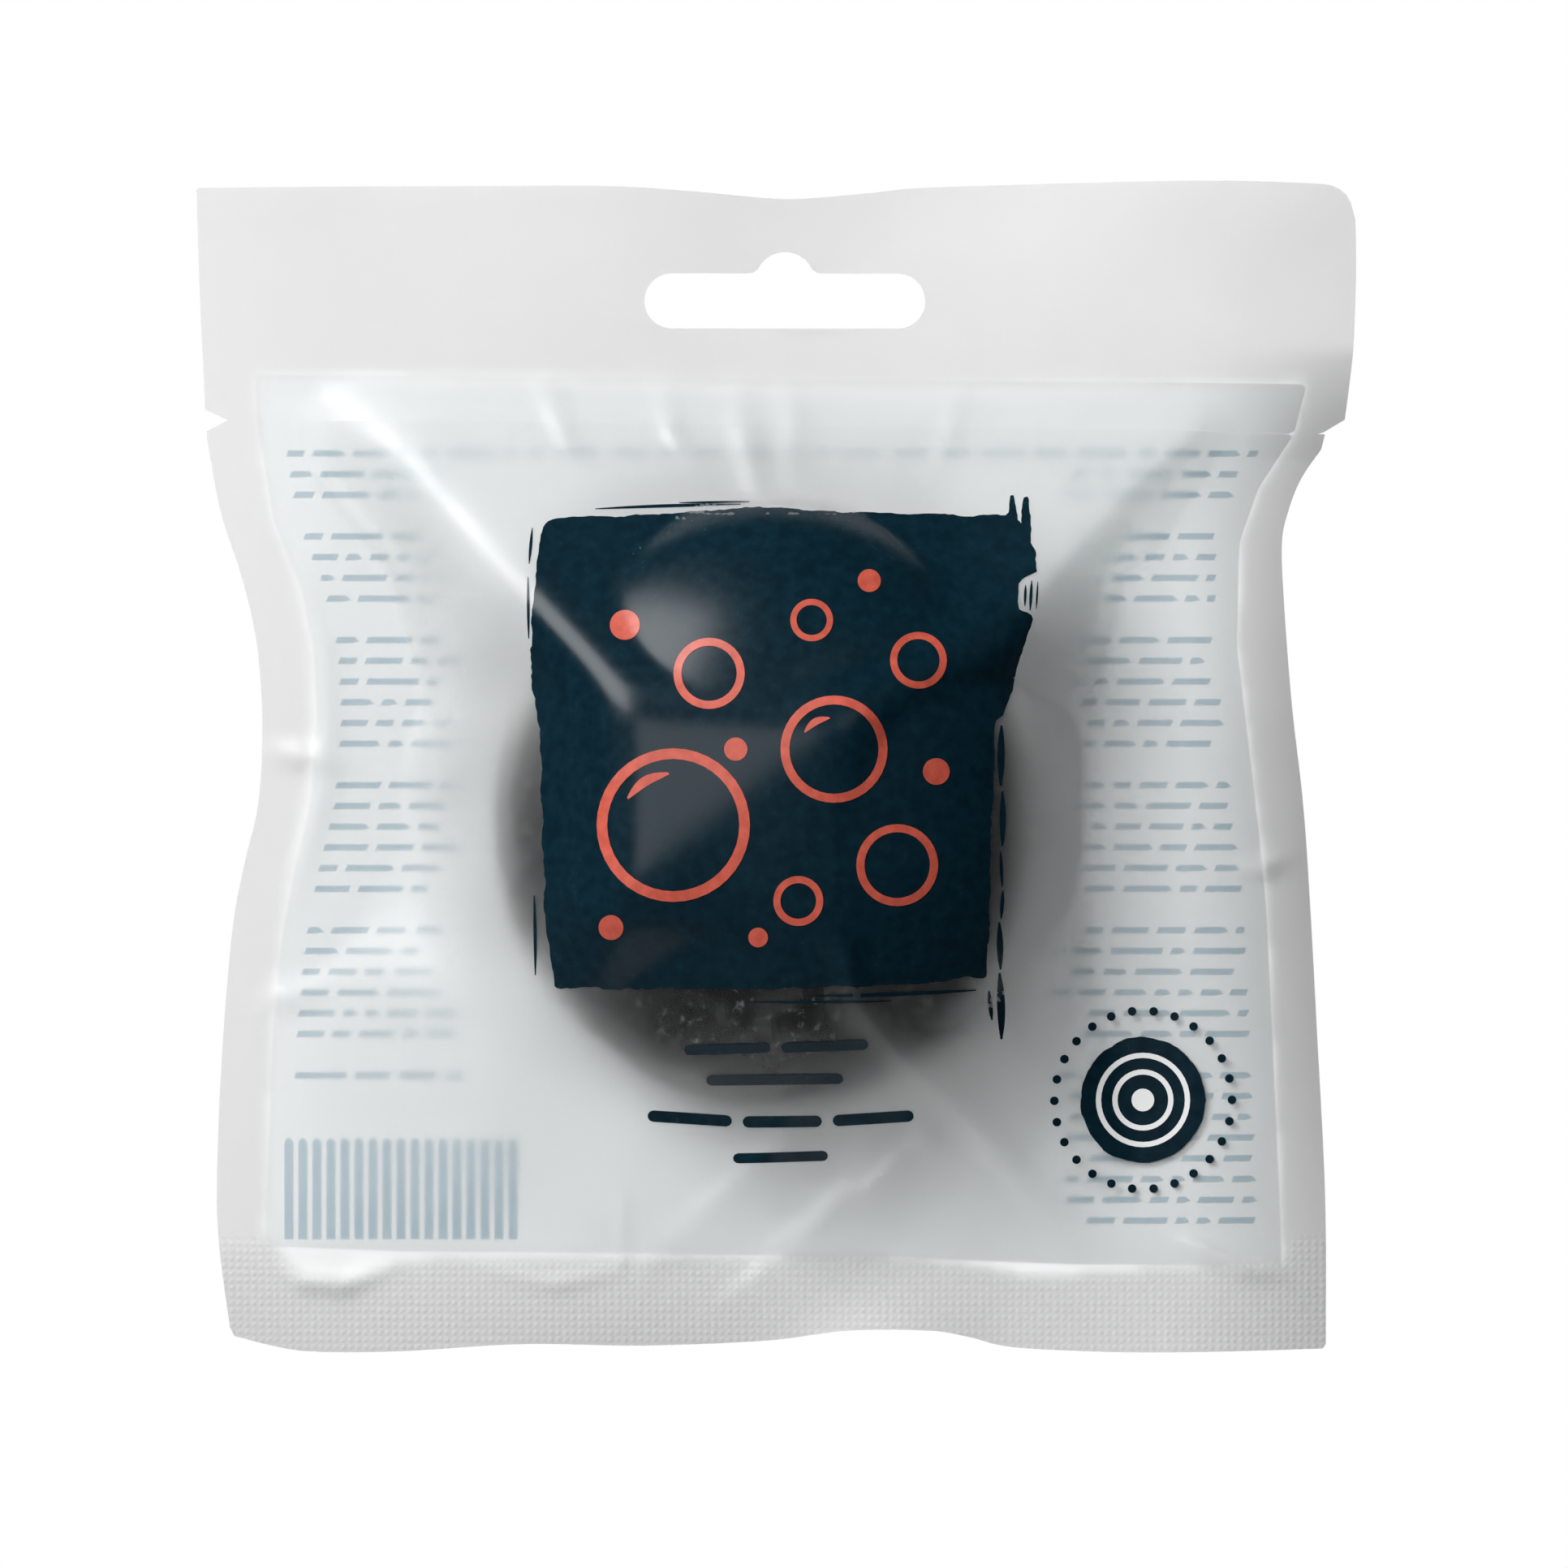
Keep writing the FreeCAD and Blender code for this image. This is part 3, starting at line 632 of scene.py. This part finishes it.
back_panel.data.materials.append(white_ink)
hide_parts("panel_print")
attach(back_panel, "pouch")

# Print on the back: plain rows of dashes in columns and a block of even stripes, printed in dark
# ink on the outside of the white panel. A second layer in pale blue, between the panel and the film,
# stands for how the print shows through the white from the front.
word_cut = np.random.default_rng(11)
row_count, row_pitch, first_row = 38, 2.37, -19.6
open_rows = (3, 8, 15, 22, 29)
left_rows = 31
left_column_end, right_column_start, column_ragged = -36.0, 30.0, 5
row_inset = 2.6
dash_height, dash_gap = 0.7, 0.75
stripe_count, stripe_pitch, stripe_width = 17, 1.6, 1.0
stripe_left, stripe_foot, stripe_head = -57.2, -109.4, -97.8
row_step, ghost_gauge, row_gauge = 2.0, 0.02, 0.03
ghost_lift, row_lift = panel_gap - 0.05, panel_gap + 0.06


def oblong(x0, x1, z0, z1):
    """A ring for one upright rectangle, in mm."""
    return np.array([(x0, z0), (x1, z0), (x1, z1), (x0, z1)])


def dashes(x0, x1, z):
    """Rings for one row of dashes of uneven length between two places, in mm."""
    row = []
    while x0 < x1 - 1.0:
        end = min(x0 + word_cut.uniform(1.6, 6.2), x1)
        row.append(oblong(x0, end, z - dash_height / 2, z + dash_height / 2))
        x0 = end + dash_gap
    return row


print_rows = []
for line_no in range(row_count):
    z = first_row - row_pitch * line_no
    panel_sides = zip(panel_ring, np.roll(panel_ring, -1, axis=0))
    crossing = [(a, b) for a, b in panel_sides if (a[1] > z) != (b[1] > z)]
    sides = sorted(a[0] + (b[0] - a[0]) * (z - a[1]) / (b[1] - a[1]) for a, b in crossing)
    left_side, right_side = sides[0] + row_inset, sides[-1] - row_inset
    if line_no == 0:
        print_rows += dashes(left_side, right_side, z)
    elif line_no not in open_rows:
        if line_no < left_rows:
            print_rows += dashes(left_side, left_column_end + word_cut.uniform(-column_ragged, 0), z)
        print_rows += dashes(right_column_start + word_cut.uniform(0, column_ragged), right_side, z)
for stripe in range(stripe_count):
    x = stripe_left + stripe_pitch * stripe
    print_rows.append(oblong(x, x + stripe_width, stripe_foot, stripe_head))
print_shapes = [(closed(ring, 1.0), []) for ring in print_rows]
ghost_print = cut_sheet("back_print_inside", print_shapes, on_back(ghost_lift), row_step, ghost_gauge)
back_print = cut_sheet("back_print", print_shapes, on_back(row_lift), row_step, row_gauge)
pale_stops = ((0.3, (0.23, 0.39, 0.49)), (0.7, (0.33, 0.48, 0.57)))
pale_print, shader, _ = mottled("pale_print", 300, 2, pale_stops)
shader.inputs["Roughness"].default_value = 0.6
ghost_print.data.materials.append(pale_print)

navy_stops = ((0.35, (0.0018, 0.013, 0.022)), (0.7, (0.003, 0.020, 0.032)))
navy_ink, shader, mottle = mottled("navy_ink", 700, 5, navy_stops)
shader.inputs["Specular IOR Level"].default_value = 0.2
nodes, links = navy_ink.node_tree.nodes, navy_ink.node_tree.links
rough = nodes.new("ShaderNodeMapRange")
rough.inputs["To Min"].default_value = 0.22
rough.inputs["To Max"].default_value = 0.3
links.new(mottle.outputs["Fac"], rough.inputs["Value"])
links.new(rough.outputs["Result"], shader.inputs["Roughness"])
back_print.data.materials.append(navy_ink)
for piece in (ghost_print, back_print):
    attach(piece, "pouch")

# Front film of the pouch: the same frosted film, welded to the back one at the seals and drawn up
# over the dome in crisp tent folds. On both sides it lies down on the back film before the seals.
lying_down = [
    (-55.2, -12.0), (-53.2, -22.3), (-45.2, -31.5), (-40.5, -47.6), (-42.9, -54.1), (-44.0, -61.2),
    (-41.2, -64.3), (-42.1, -68.6), (-51.4, -76.1), (-57.5, -80.3), (-58.9, -90.0), (-59.2, -102.3),
    (-59.4, -108.8), (-55.1, -113.2), (-48.2, -113.8), (-43.3, -112.0), (-34.0, -111.4),
    (-24.8, -111.4), (-18.6, -111.5), (-15.5, -111.6), (-4.8, -111.6), (3.1, -111.2), (10.5, -111.3),
    (19.8, -112.3), (26.5, -113.3), (33.7, -113.2), (42.0, -110.8), (40.2, -99.5), (37.8, -88.4),
    (35.1, -77.3), (32.9, -66.1), (33.0, -59.2), (31.8, -53.8), (34.6, -46.9), (37.1, -39.0),
    (38.3, -32.7), (42.0, -29.7), (46.4, -22.8), (51.9, -13.0), (40.2, -12.2), (26.3, -12.3),
    (12.3, -12.5), (0.0, -12.3), (-12.7, -11.9), (-25.7, -11.4), (-37.8, -11.2), (-49.8, -10.7),
    (-55.2, -12.0),
]
well_outside = [
    (-74, 2, -8), (-68, -30, -10), (-60, -50, -10), (-62, -66, -10), (-70, -85, -8), (-72, -120, -6),
    (-50, -126, -6), (0, -126, -6), (40, -126, -6), (66, -120, -8), (62, -90, -10), (55, -60, -10),
    (60, -35, -10), (74, 0, -9), (30, 4, -8), (0, 4, -8), (-30, 4, -8), (-74, 2, -8),
]
front_folds = [
    well_outside, level(lying_down),
    [(-48.9, -15.6, 2.8), (-34.7, -31.5, 13.0), (-28.5, -38.0, 17.0), (-19.5, -47.6, 23.6)],
    [(50.1, -14.6, 0.8), (40.8, -22.8, 6.6), (29.7, -35.3, 13.8), (25.3, -42.0, 17.4), (15.1, -46.7, 22.8),
     (8.6, -49.4, 25.9)],
    [(-19.5, -71.1, 25.0), (-26.6, -80.5, 14.5), (-37.8, -82.1, 5.0), (-49.8, -83.1, 1.2)],
    [(-19.5, -47.6, 23.6), (8.6, -49.4, 25.9), (-19.5, -71.1, 25.0), (-19.5, -47.6, 23.6)],
    [(6.8, -75.4, 23.4), (8.2, -81.4, 20.7), (13.5, -87.8, 15.5), (21.0, -95.2, 9.0), (27.2, -103.2, 4.0),
     (32.1, -108.2, 1)],
    [(-4.8, -111.6, 0), (4.9, -102.0, 7.4), (8.0, -101.1, 8.0), (16.0, -98.3, 8.8), (21.6, -102.0, 5.6),
     (26.5, -108.2, 1.5)],
    [(-15.5, -111.6, 0), (-8.1, -105.1, 4.6), (-0.6, -98.3, 9.0)],
    [(-18.6, -111.5, 0), (-18.6, -103.2, 4.0), (-16.1, -92.1, 9.0)],
    [(-34.0, -97.7, 3.0), (-45.2, -97.7, 1.6)], [(-50.7, -105.1, 1.0), (-37.8, -105.1, 1.7)],
    [(-52.6, -90.3, 1.0), (-41.5, -90.3, 2.8), (-32.2, -90.3, 6.2)],
    [(6.8, -107.0, 2.4), (12.3, -108.8, 1.2)],
]


def puckered(puckers):
    """Heights of small ridges along lines of x, z and height, with a half width to each side, in mm."""
    height = np.zeros_like(mesh_x)
    for left_width, right_width, line in puckers:
        best = np.zeros_like(mesh_x)
        for (ax, az, ha), (bx, bz, hb) in zip(line, line[1:]):
            dx, dz = bx - ax, bz - az
            along = np.clip(((mesh_x - ax) * dx + (mesh_z - az) * dz) / (dx ** 2 + dz ** 2), 0, 1)
            away = np.hypot(mesh_x - ax - along * dx, mesh_z - az - along * dz)
            half_width = np.where(dx * (mesh_z - az) > dz * (mesh_x - ax), left_width, right_width)
            ridge = (ha + (hb - ha) * along) * np.exp(-(away / half_width) ** 2)
            best = np.where(np.abs(ridge) > np.abs(best), ridge, best)
        height += best
    return height


front_puckers = [
    (0.9, 0.9, [(51.5, -14.5, 0.2), (46.2, -23.0, 0.9), (41.8, -29.9, 0.8), (38.1, -33.0, 0.9),
                (36.9, -39.2, 0.9), (34.4, -47.1, 0.8), (31.7, -53.6, 0.5)]),
    (0.8, 0.8, [(-54.6, -15.0, 0.3), (-53.0, -22.5, 0.6), (-45.0, -31.8, 0.5), (-42.5, -38.0, 0.1)]),
    (1.8, 1.3, [(-55.6, -33.0, 0.1), (-53.0, -42.0, 0.5), (-52.4, -50.0, 0.6), (-53.0, -58.0, 0.6),
                (-55.0, -66.0, 0.5), (-56.8, -74.0, 0.1)]),
    (1.3, 1.3, [(-27.6, -11.6, 0.1), (-26.0, -15.0, 0.6), (-23.6, -21.0, 0.1)]),
    (1.2, 1.2, [(-13.4, -12.3, 0.1), (-12.9, -17.0, 0.6), (-10.8, -20.5, 0.1)]),
    (1.6, 1.6, [(-5.2, -12.3, 0.1), (-4.6, -17.0, 0.7), (-2.6, -26.0, 0.5), (-1.5, -33.0, 0.1)]),
    (1.4, 1.4, [(0.6, -12.5, 0.1), (1.2, -16.0, 0.5), (0.8, -24.0, 0.1)]),
    (1.2, 1.2, [(20.0, -12.5, 0.1), (19.2, -16.5, 0.4), (17.0, -22.0, 0.1)]),
    (1.4, 1.4, [(-58.5, -53.6, 0.2), (-55.4, -54.1, 0.9), (-50.0, -55.2, 0.2)]),
    (1.6, 1.6, [(-59.0, -82.6, 0.2), (-57.0, -81.8, 0.8), (-51.0, -80.0, 0.1)]),
    (1.3, 1.3, [(57.5, -66.0, 0.2), (54.6, -66.9, 0.9), (50.5, -67.6, 0.2)]),
    (1.2, 1.2, [(-57.6, -112.6, 0.2), (-55.2, -114.2, 0.8), (-50.5, -114.6, 0.9), (-45.6, -112.4, 0.3)]),
    (1.0, 1.0, [(-34.0, -113.0, 0.2), (-26.5, -114.6, 0.5), (-19.0, -113.2, 0.2)]),
    (2.4, 7.0, [(-1.0, -111.0, 0.7), (3.4, -107.6, 1.9), (7.0, -104.4, 1.9), (9.4, -102.2, 0.4)]),
    (2.6, 1.1, [(-4.6, -111.4, -0.4), (1.0, -107.0, -1.2), (5.4, -103.1, -1.2), (7.6, -101.6, -0.4)]),
    (2.6, 2.0, [(7.4, -81.0, 0.2), (13.5, -87.8, 0.9), (21.0, -95.2, 1.3), (27.2, -103.2, 1.3),
                (32.1, -108.4, 0.5)]),
    (2.6, 1.5, [(16.0, -98.3, 0.6), (21.6, -102.0, 0.9), (26.5, -108.2, 0.4)]),
    (1.4, 2.4, [(-15.5, -111.6, 0.3), (-8.1, -105.1, 1.0), (-0.6, -98.3, 0.5)]),
    (0.9, 0.9, [(-18.6, -103.2, 0.1), (-18.6, -107.0, 0.7), (-18.6, -111.4, 0.4)]),
    (0.9, 1.6, [(44.0, -109.0, 0.1), (47.8, -110.4, 1.0), (52.5, -112.6, 0.8), (57.0, -113.4, 0.2)]),
]
soft_folds, crisp_folds = folded(front_folds, 2.2), folded(front_folds, 0.7)
crisp_places = ((12, -104, 16), (-10, -108, 10), (45, -24, 9), (38, -36, 8), (33, -52, 9), (9, -79, 6))
crisp_share = np.zeros_like(mesh_x)
for x, z, reach in crisp_places:
    crisp_share = np.maximum(crisp_share, np.clip(1.5 - np.hypot(mesh_x - x, mesh_z - z) / reach, 0, 1))
front_height = soft_folds + softened(crisp_share, 1.5) * (crisp_folds - soft_folds)
seal_plane = np.zeros_like(mesh_x)
front_height = over(front_height, seal_plane, 0.25) - 0.06 + puckered(front_puckers)
front_height = over(front_height, seal_plane, 0.1) - 0.03
# Where the dome pushes it out, the film follows the dome to just short of its rim and then drops straight.
drop_from = 30.7
drop_run = drop_from - sponge_radius + shoulder_radius
drop_slope = drop_run / math.sqrt(shoulder_radius ** 2 - drop_run ** 2)
wrapped = np.where(base_reach < drop_from, dome_depth(np.minimum(base_reach, drop_from)),
                   dome_depth(np.array(drop_from)) - drop_slope * (base_reach - drop_from))
front_height = over(front_height, np.maximum(wrapped, -3) + sponge_room, 0.3)


def on_front(lift):
    """Heights for what lies on the front film, lifted off the seals' plane by so many mm."""
    return lambda x, z: wave_at(x, z) - lift - sample(front_height, x, z)


front_film = cut_sheet("front_film_sheet", [(pouch_ring, [])], on_front(film_half_gap), film_step, film_gauge)
marked(front_film, "crimp", crimped)
# Its frosting shows least where it lies on the sponge and most where it stands clear. On the steep wall right
# of the dome it is made more frosted and so paler, which is painted light. Where it stands off the panel it
# is a little darker, which is painted shade, and it is smoothest in spots that touch the sponge below the ink
# block.
rest_reach = sponge_reach(mesh_x, mesh_z, 0)
dome_under = dome_depth(np.minimum(rest_reach, sponge_radius))
beside_sponge = 20
clear_of_sponge = np.where(rest_reach < sponge_radius, front_height - dome_under, beside_sponge)
milky = softened(risen(clear_of_sponge, 0.6, 6.1), 1.0)
falls_right = -np.gradient(front_height, raster_step, axis=1)
# Painted light: the film is made more frosted, and so paler, on the steep wall right of the dome only.
right_wall_painted_light = risen(falls_right, 0.7, 1.8) * risen(mesh_x, 18, 24) * risen(-mesh_z, 42, 48)
contact_clarity, milky_loss, painted_light_share = 0.997, 0.10, 0.36
front_clarity = contact_clarity - milky_loss * milky - painted_light_share * softened(right_wall_painted_light, 0.9)
front_clarity = front_clarity + (weld_clarity - front_clarity) * welded
marked(front_film, "clarity", front_clarity)
contact_top, contact_middle, contact_half = -77, -3, 17
touching = risen(-clear_of_sponge, -0.9, -0.5) * risen(-rest_reach, -29.5, -23.5)
touching *= np.clip(0.25 + (contact_top - mesh_z) / 5, 0.25, 1)
touching *= np.clip((contact_half - np.abs(mesh_x - contact_middle)) / 8, 0.2, 1)
spots = softened(np.random.default_rng(5).normal(0, 1, mesh_x.shape), 0.9)
marked(front_film, "touch", softened(touching, 2.4) * np.clip(0.9 + 0.3 * spots / spots.std(), 0, 1.2))
# Painted shade: the front film is tinted a little darker where it stands off the panel, carried in the same
# attribute as the weld.
lifted = softened(risen(front_height + back_height, 0.35, 1.35), 0.35)
lifted_shade = 0.15
marked(front_film, "weld_and_shade", np.maximum(welded, lifted_shade * lifted))
front_film.data.materials.append(frosted)
uncut_edge(front_film)
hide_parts("front_film")
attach(front_film, "pouch")

# Ink block on the front film: one flood of dark blue ink rolled on the outside of the film, with
# brushed edges, and a coral print of soap bubbles over it.
print_lift = film_half_gap + film_gauge / 2 + 0.06
over_print = print_lift + 0.07
print_step, print_gauge = 0.8, 0.05
block_edge = [
    (-26.4, -27.3), (-20.0, -26.9), (-10.0, -26.5), (-3.0, -26.1), (5.0, -26.5), (15.0, -26.8),
    (25.3, -26.9), (25.6, -24.6), (26.1, -24.5), (26.4, -27.4), (26.9, -28.0), (27.2, -24.8),
    (27.7, -24.6), (27.9, -30.2), (28.5, -31.0), (28.5, -33.4), (27.0, -34.1), (26.5, -34.6),
    (26.4, -37.6), (27.4, -38.0), (28.1, -38.7), (27.3, -41.2), (26.6, -43.0), (25.7, -46.8),
    (24.6, -49.6), (23.6, -50.3), (23.3, -60.0), (23.2, -70.0), (22.7, -79.4), (12.0, -80.0),
    (0.0, -80.3), (-10.0, -80.4), (-20.0, -80.5), (-25.9, -80.2), (-26.9, -74.0), (-27.3, -65.0),
    (-27.4, -58.0), (-27.7, -51.0), (-28.5, -46.7), (-28.6, -38.3), (-28.1, -31.8), (-27.3, -28.0),
]
block_ring = closed(block_edge, 0.5)
brush_share = 0.009
ragged = np.random.default_rng(7)
brush = np.convolve(ragged.normal(0, 1, len(block_ring) + 8), np.ones(5) / 5, "same")[4:-4]
block_ring = block_ring + (block_ring - block_ring.mean(axis=0)) * (brush * brush_share)[:, None]


def stroke(start, end, width, bow):
    """A ring for one thin brush stroke from start to end, in mm."""
    start, end = np.array(start), np.array(end)
    side = np.array([start[1] - end[1], end[0] - start[0]]) / np.hypot(*(end - start))
    share = np.linspace(0, 1, 14)
    spine = start + (end - start) * share[:, None] + side * (bow * np.sin(share * math.pi))[:, None]
    half = side * (width / 2 * np.sin(np.clip(share, 0.03, 0.97) * math.pi)[:, None] ** 0.6)
    return np.vstack([spine + half, (spine - half)[::-1]])


strokes = [stroke(*s) for s in (
    ((-21.5, -26.2), (-5.0, -25.7), 0.35, 0.1), ((-12.0, -25.5), (-4.0, -25.4), 0.25, 0.0),
    ((27.2, -34.9), (27.1, -37.3), 0.3, 0.0), ((27.9, -34.4), (27.7, -37.8), 0.35, 0.0),
    ((28.6, -34.5), (28.4, -37.6), 0.2, 0.0), ((24.4, -50.8), (24.3, -57.6), 0.8, 0.0),
    ((24.5, -58.2), (24.5, -64.4), 0.7, 0.05), ((24.3, -65.0), (24.5, -69.0), 0.35, 0.0),
    ((24.6, -69.4), (24.4, -72.6), 0.4, 0.0), ((24.2, -73.0), (24.4, -78.4), 0.7, 0.0),
    ((24.3, -78.8), (24.6, -86.4), 0.9, 0.1), ((23.1, -80.8), (23.5, -84.2), 0.5, 0.0),
    ((21.6, -80.7), (3.0, -81.2), 0.45, 0.1), ((12.0, -81.8), (-4.0, -81.9), 0.3, 0.05),
    ((-28.3, -70.0), (-28.2, -79.0), 0.35, 0.05),
    ((-29.0, -34.0), (-28.9, -41.0), 0.3, 0.0), ((-28.6, -28.4), (-28.9, -32.5), 0.35, 0.0))]
block_shapes = [(ring, []) for ring in [block_ring] + strokes]
ink_block = cut_sheet("ink_block", block_shapes, on_front(print_lift), print_step, print_gauge)
ink_block.data.materials.append(navy_ink)
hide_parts("block_print")
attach(ink_block, "pouch")


def circle(x, z, radius, count=40):
    """A round ring of points in mm."""
    turn = np.arange(count) / count * math.tau
    return np.stack([x + radius * np.cos(turn), z + radius * np.sin(turn)], axis=1)


bubbles = [(circle(x, z, r), [circle(x, z, r - w)] if w else []) for x, z, r, w in (
    (-12.5, -62.0, 8.6, 1.2), (5.5, -53.5, 6.0, 1.0), (-8.5, -45.0, 4.0, 0.9), (12.6, -66.5, 4.6, 0.9),
    (1.5, -70.5, 2.8, 0.8), (3.0, -39.0, 2.4, 0.7), (15.0, -43.5, 3.2, 0.8), (-18.0, -39.5, 1.7, 0),
    (9.5, -34.5, 1.3, 0), (17.0, -56.0, 1.5, 0), (-5.5, -53.5, 1.3, 0), (-3.0, -74.6, 1.1, 0),
    (-19.5, -73.5, 1.4, 0))]
for glint in (((-17.6, -59.0), (-13.0, -56.2), 1.1, 0.6), ((2.2, -51.6), (5.0, -50.0), 0.8, 0.4)):
    bubbles.append((stroke(*glint), []))
bubble_print = cut_sheet("bubble_print", bubbles, on_front(over_print), print_step, print_gauge)
coral_stops = ((0.35, (0.50, 0.075, 0.045)), (0.7, (0.62, 0.105, 0.065)))
coral_ink, shader, _ = mottled("coral_ink", 900, 4, coral_stops)
shader.inputs["Roughness"].default_value = 0.42
bubble_print.data.materials.append(coral_ink)
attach(bubble_print, "pouch")

# Badge on the front film: a round of the same dark ink low on the right, with ripples in white ink
# rolled on over it and a ring of small dots round it.
badge_x, badge_z = 40.9, -93.5
badge_radius, badge_ragged = 7.2, 0.14
dot_count, dot_reach, dot_radius = 26, 10.2, 0.5
turn = np.arange(90) / 90 * math.tau
reach = badge_radius + badge_ragged * np.convolve(ragged.normal(0, 1, 98), np.ones(4) / 4, "same")[4:-4]
badge_ring = np.stack([badge_x + reach * np.cos(turn), badge_z + reach * np.sin(turn)], axis=1)
dots = [(circle(badge_x + dot_reach * math.cos(a), badge_z + dot_reach * math.sin(a), dot_radius, 12), [])
        for a in np.arange(dot_count) / dot_count * math.tau]
ink_badge = cut_sheet("ink_badge", [(badge_ring, [])] + dots, on_front(print_lift), print_step, print_gauge)
ink_badge.data.materials.append(navy_ink)
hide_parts("badge_print")
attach(ink_badge, "pouch")
ripple_rings, ripple_middle, ripple_step = ((5.4, 4.8), (3.5, 2.9)), 1.3, 0.7
ripples = [(circle(badge_x, badge_z, outer), [circle(badge_x, badge_z, inner)])
           for outer, inner in ripple_rings]
ripples.append((circle(badge_x, badge_z, ripple_middle, 24), []))
badge_ripples = cut_sheet("badge_ripples", ripples, on_front(over_print), ripple_step, print_gauge)
badge_ripples.data.materials.append(white_ink)
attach(badge_ripples, "pouch")

# Plain bars under the block: four rows of short lines in the same dark ink, rolled on with the block
# in the place where a pouch of this kind has its small print.
bar_rim_step, bar_step = 0.4, 0.6


def bar(x0, x1, z, height, rise=0.0):
    """A ring for one round-ended bar from x0 to x1, raised at its far end by the rise, in mm."""
    turn = np.radians(np.linspace(90, 270, 9))
    ends = [np.stack([x0 + height / 2 * (1 + np.cos(turn)), z + height / 2 * np.sin(turn)], axis=1),
            np.stack([x1 - height / 2 * (1 + np.cos(turn)), z + rise - height / 2 * np.sin(turn)], axis=1)]
    return np.vstack(ends)


rules = [bar(*b) for b in (
    (-11.4, -1.6, -87.4, 1.15, 0.3), (-0.4, 9.4, -87.1, 1.15, 0.3), (-8.9, 6.6, -90.9, 1.15, 0.2),
    (-15.6, -6.0, -95.1, 1.3, -0.5), (-4.8, 4.2, -95.7, 1.3, 0.1), (5.4, 14.6, -95.5, 1.3, 0.5),
    (-5.9, 4.9, -99.9, 1.15, 0.3))]
rule_shapes = [(closed(ring, bar_rim_step), []) for ring in rules]
ink_rules = cut_sheet("ink_rules", rule_shapes, on_front(print_lift), bar_step, print_gauge)
ink_rules.data.materials.append(navy_ink)
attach(ink_rules, "pouch")

# Header strip, front and back film: the pouch's own two films above the tear line, with the hang
# slot punched through both. A nick at each end starts the tear.
header_left = [
    (-66.3, -14.6), (-66.4, -11.4), (-66.7, -5.0), (-66.9, -0.3), (-67.1, 6.0), (-67.2, 10.5),
]
header_top = [
    (-67.0, 10.7), (-50.0, 10.85), (-34.5, 10.9), (-20.6, 10.9), (-11.0, 10.35), (-2.0, 9.55),
    (2.6, 9.55), (10.0, 10.2), (16.5, 10.8), (35.1, 11.3), (49.0, 11.5), (60.5, 11.2), (62.9, 10.8),
    (64.4, 9.6), (65.2, 7.1),
]
header_right = [
    (65.25, 6.0), (65.3, 1.6), (65.2, -3.0), (65.0, -7.7), (64.6, -12.0), (64.2, -15.6),
]
header_nick = (61.7, -17.1)
header_foot = [(61.0, -17.29), (-63.7, -15.8)]
header_step = 1.0
header_ring = np.vstack([
    even(flowing(header_left), header_step),
    even(flowing(header_top), header_step),
    even(flowing(header_right), header_step),
    header_nick,
    even(np.array(header_foot), film_step),
])
slot_end, slot_level, slot_radius, hump_radius = 12.9, -2.2, 3.15, 3.4
hump_foot = np.array([(4.3, 0.95), (3.6, 1.05)])


def arc(x, z, radius, start, end, count):
    """Points on an arc between two angles in degrees."""
    turn = np.radians(np.linspace(start, end, count))
    return np.stack([x + radius * np.cos(turn), z + radius * np.sin(turn)], axis=1)


slot_ring = np.vstack([
    arc(slot_end, slot_level, slot_radius, -90, 90, 25),
    hump_foot,
    arc(0, 0, hump_radius, 25, 155, 19),
    hump_foot[::-1] * (-1, 1),
    arc(-slot_end, slot_level, slot_radius, 90, 270, 25),
])
header_shape = [(header_ring, [slot_ring])]
header_front = cut_sheet("header_front_sheet", header_shape, on_front(film_half_gap), header_step, film_gauge)
header_back = cut_sheet("header_back_sheet", header_shape, on_back(film_half_gap), header_step, film_gauge)
for piece, node in ((header_front, "header_front_film"), (header_back, "header_back_film")):
    marked(piece, "weld_and_shade", welded)
    marked(piece, "clarity", front_clarity)
    marked(piece, "crimp", crimped)
    piece.data.materials.append(frosted)
    uncut_edge(piece)
    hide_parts(node)
    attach(piece, "header_strip")

# White panel on the header strip: the top few millimetres of the back panel's white ink, which go
# with the strip when it is torn.
header_panel_ring = closed([(-60.3, -15.85), (-60.5, -10.5), (59.7, -11.6), (58.3, -17.27)], panel_step)
header_panel = cut_sheet("header_white_panel", [(header_panel_ring, [])], on_back(panel_gap),
                         panel_step, panel_gauge)
header_panel.data.materials.append(white_ink)
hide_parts("header_panel_print")
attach(header_panel, "header_strip")
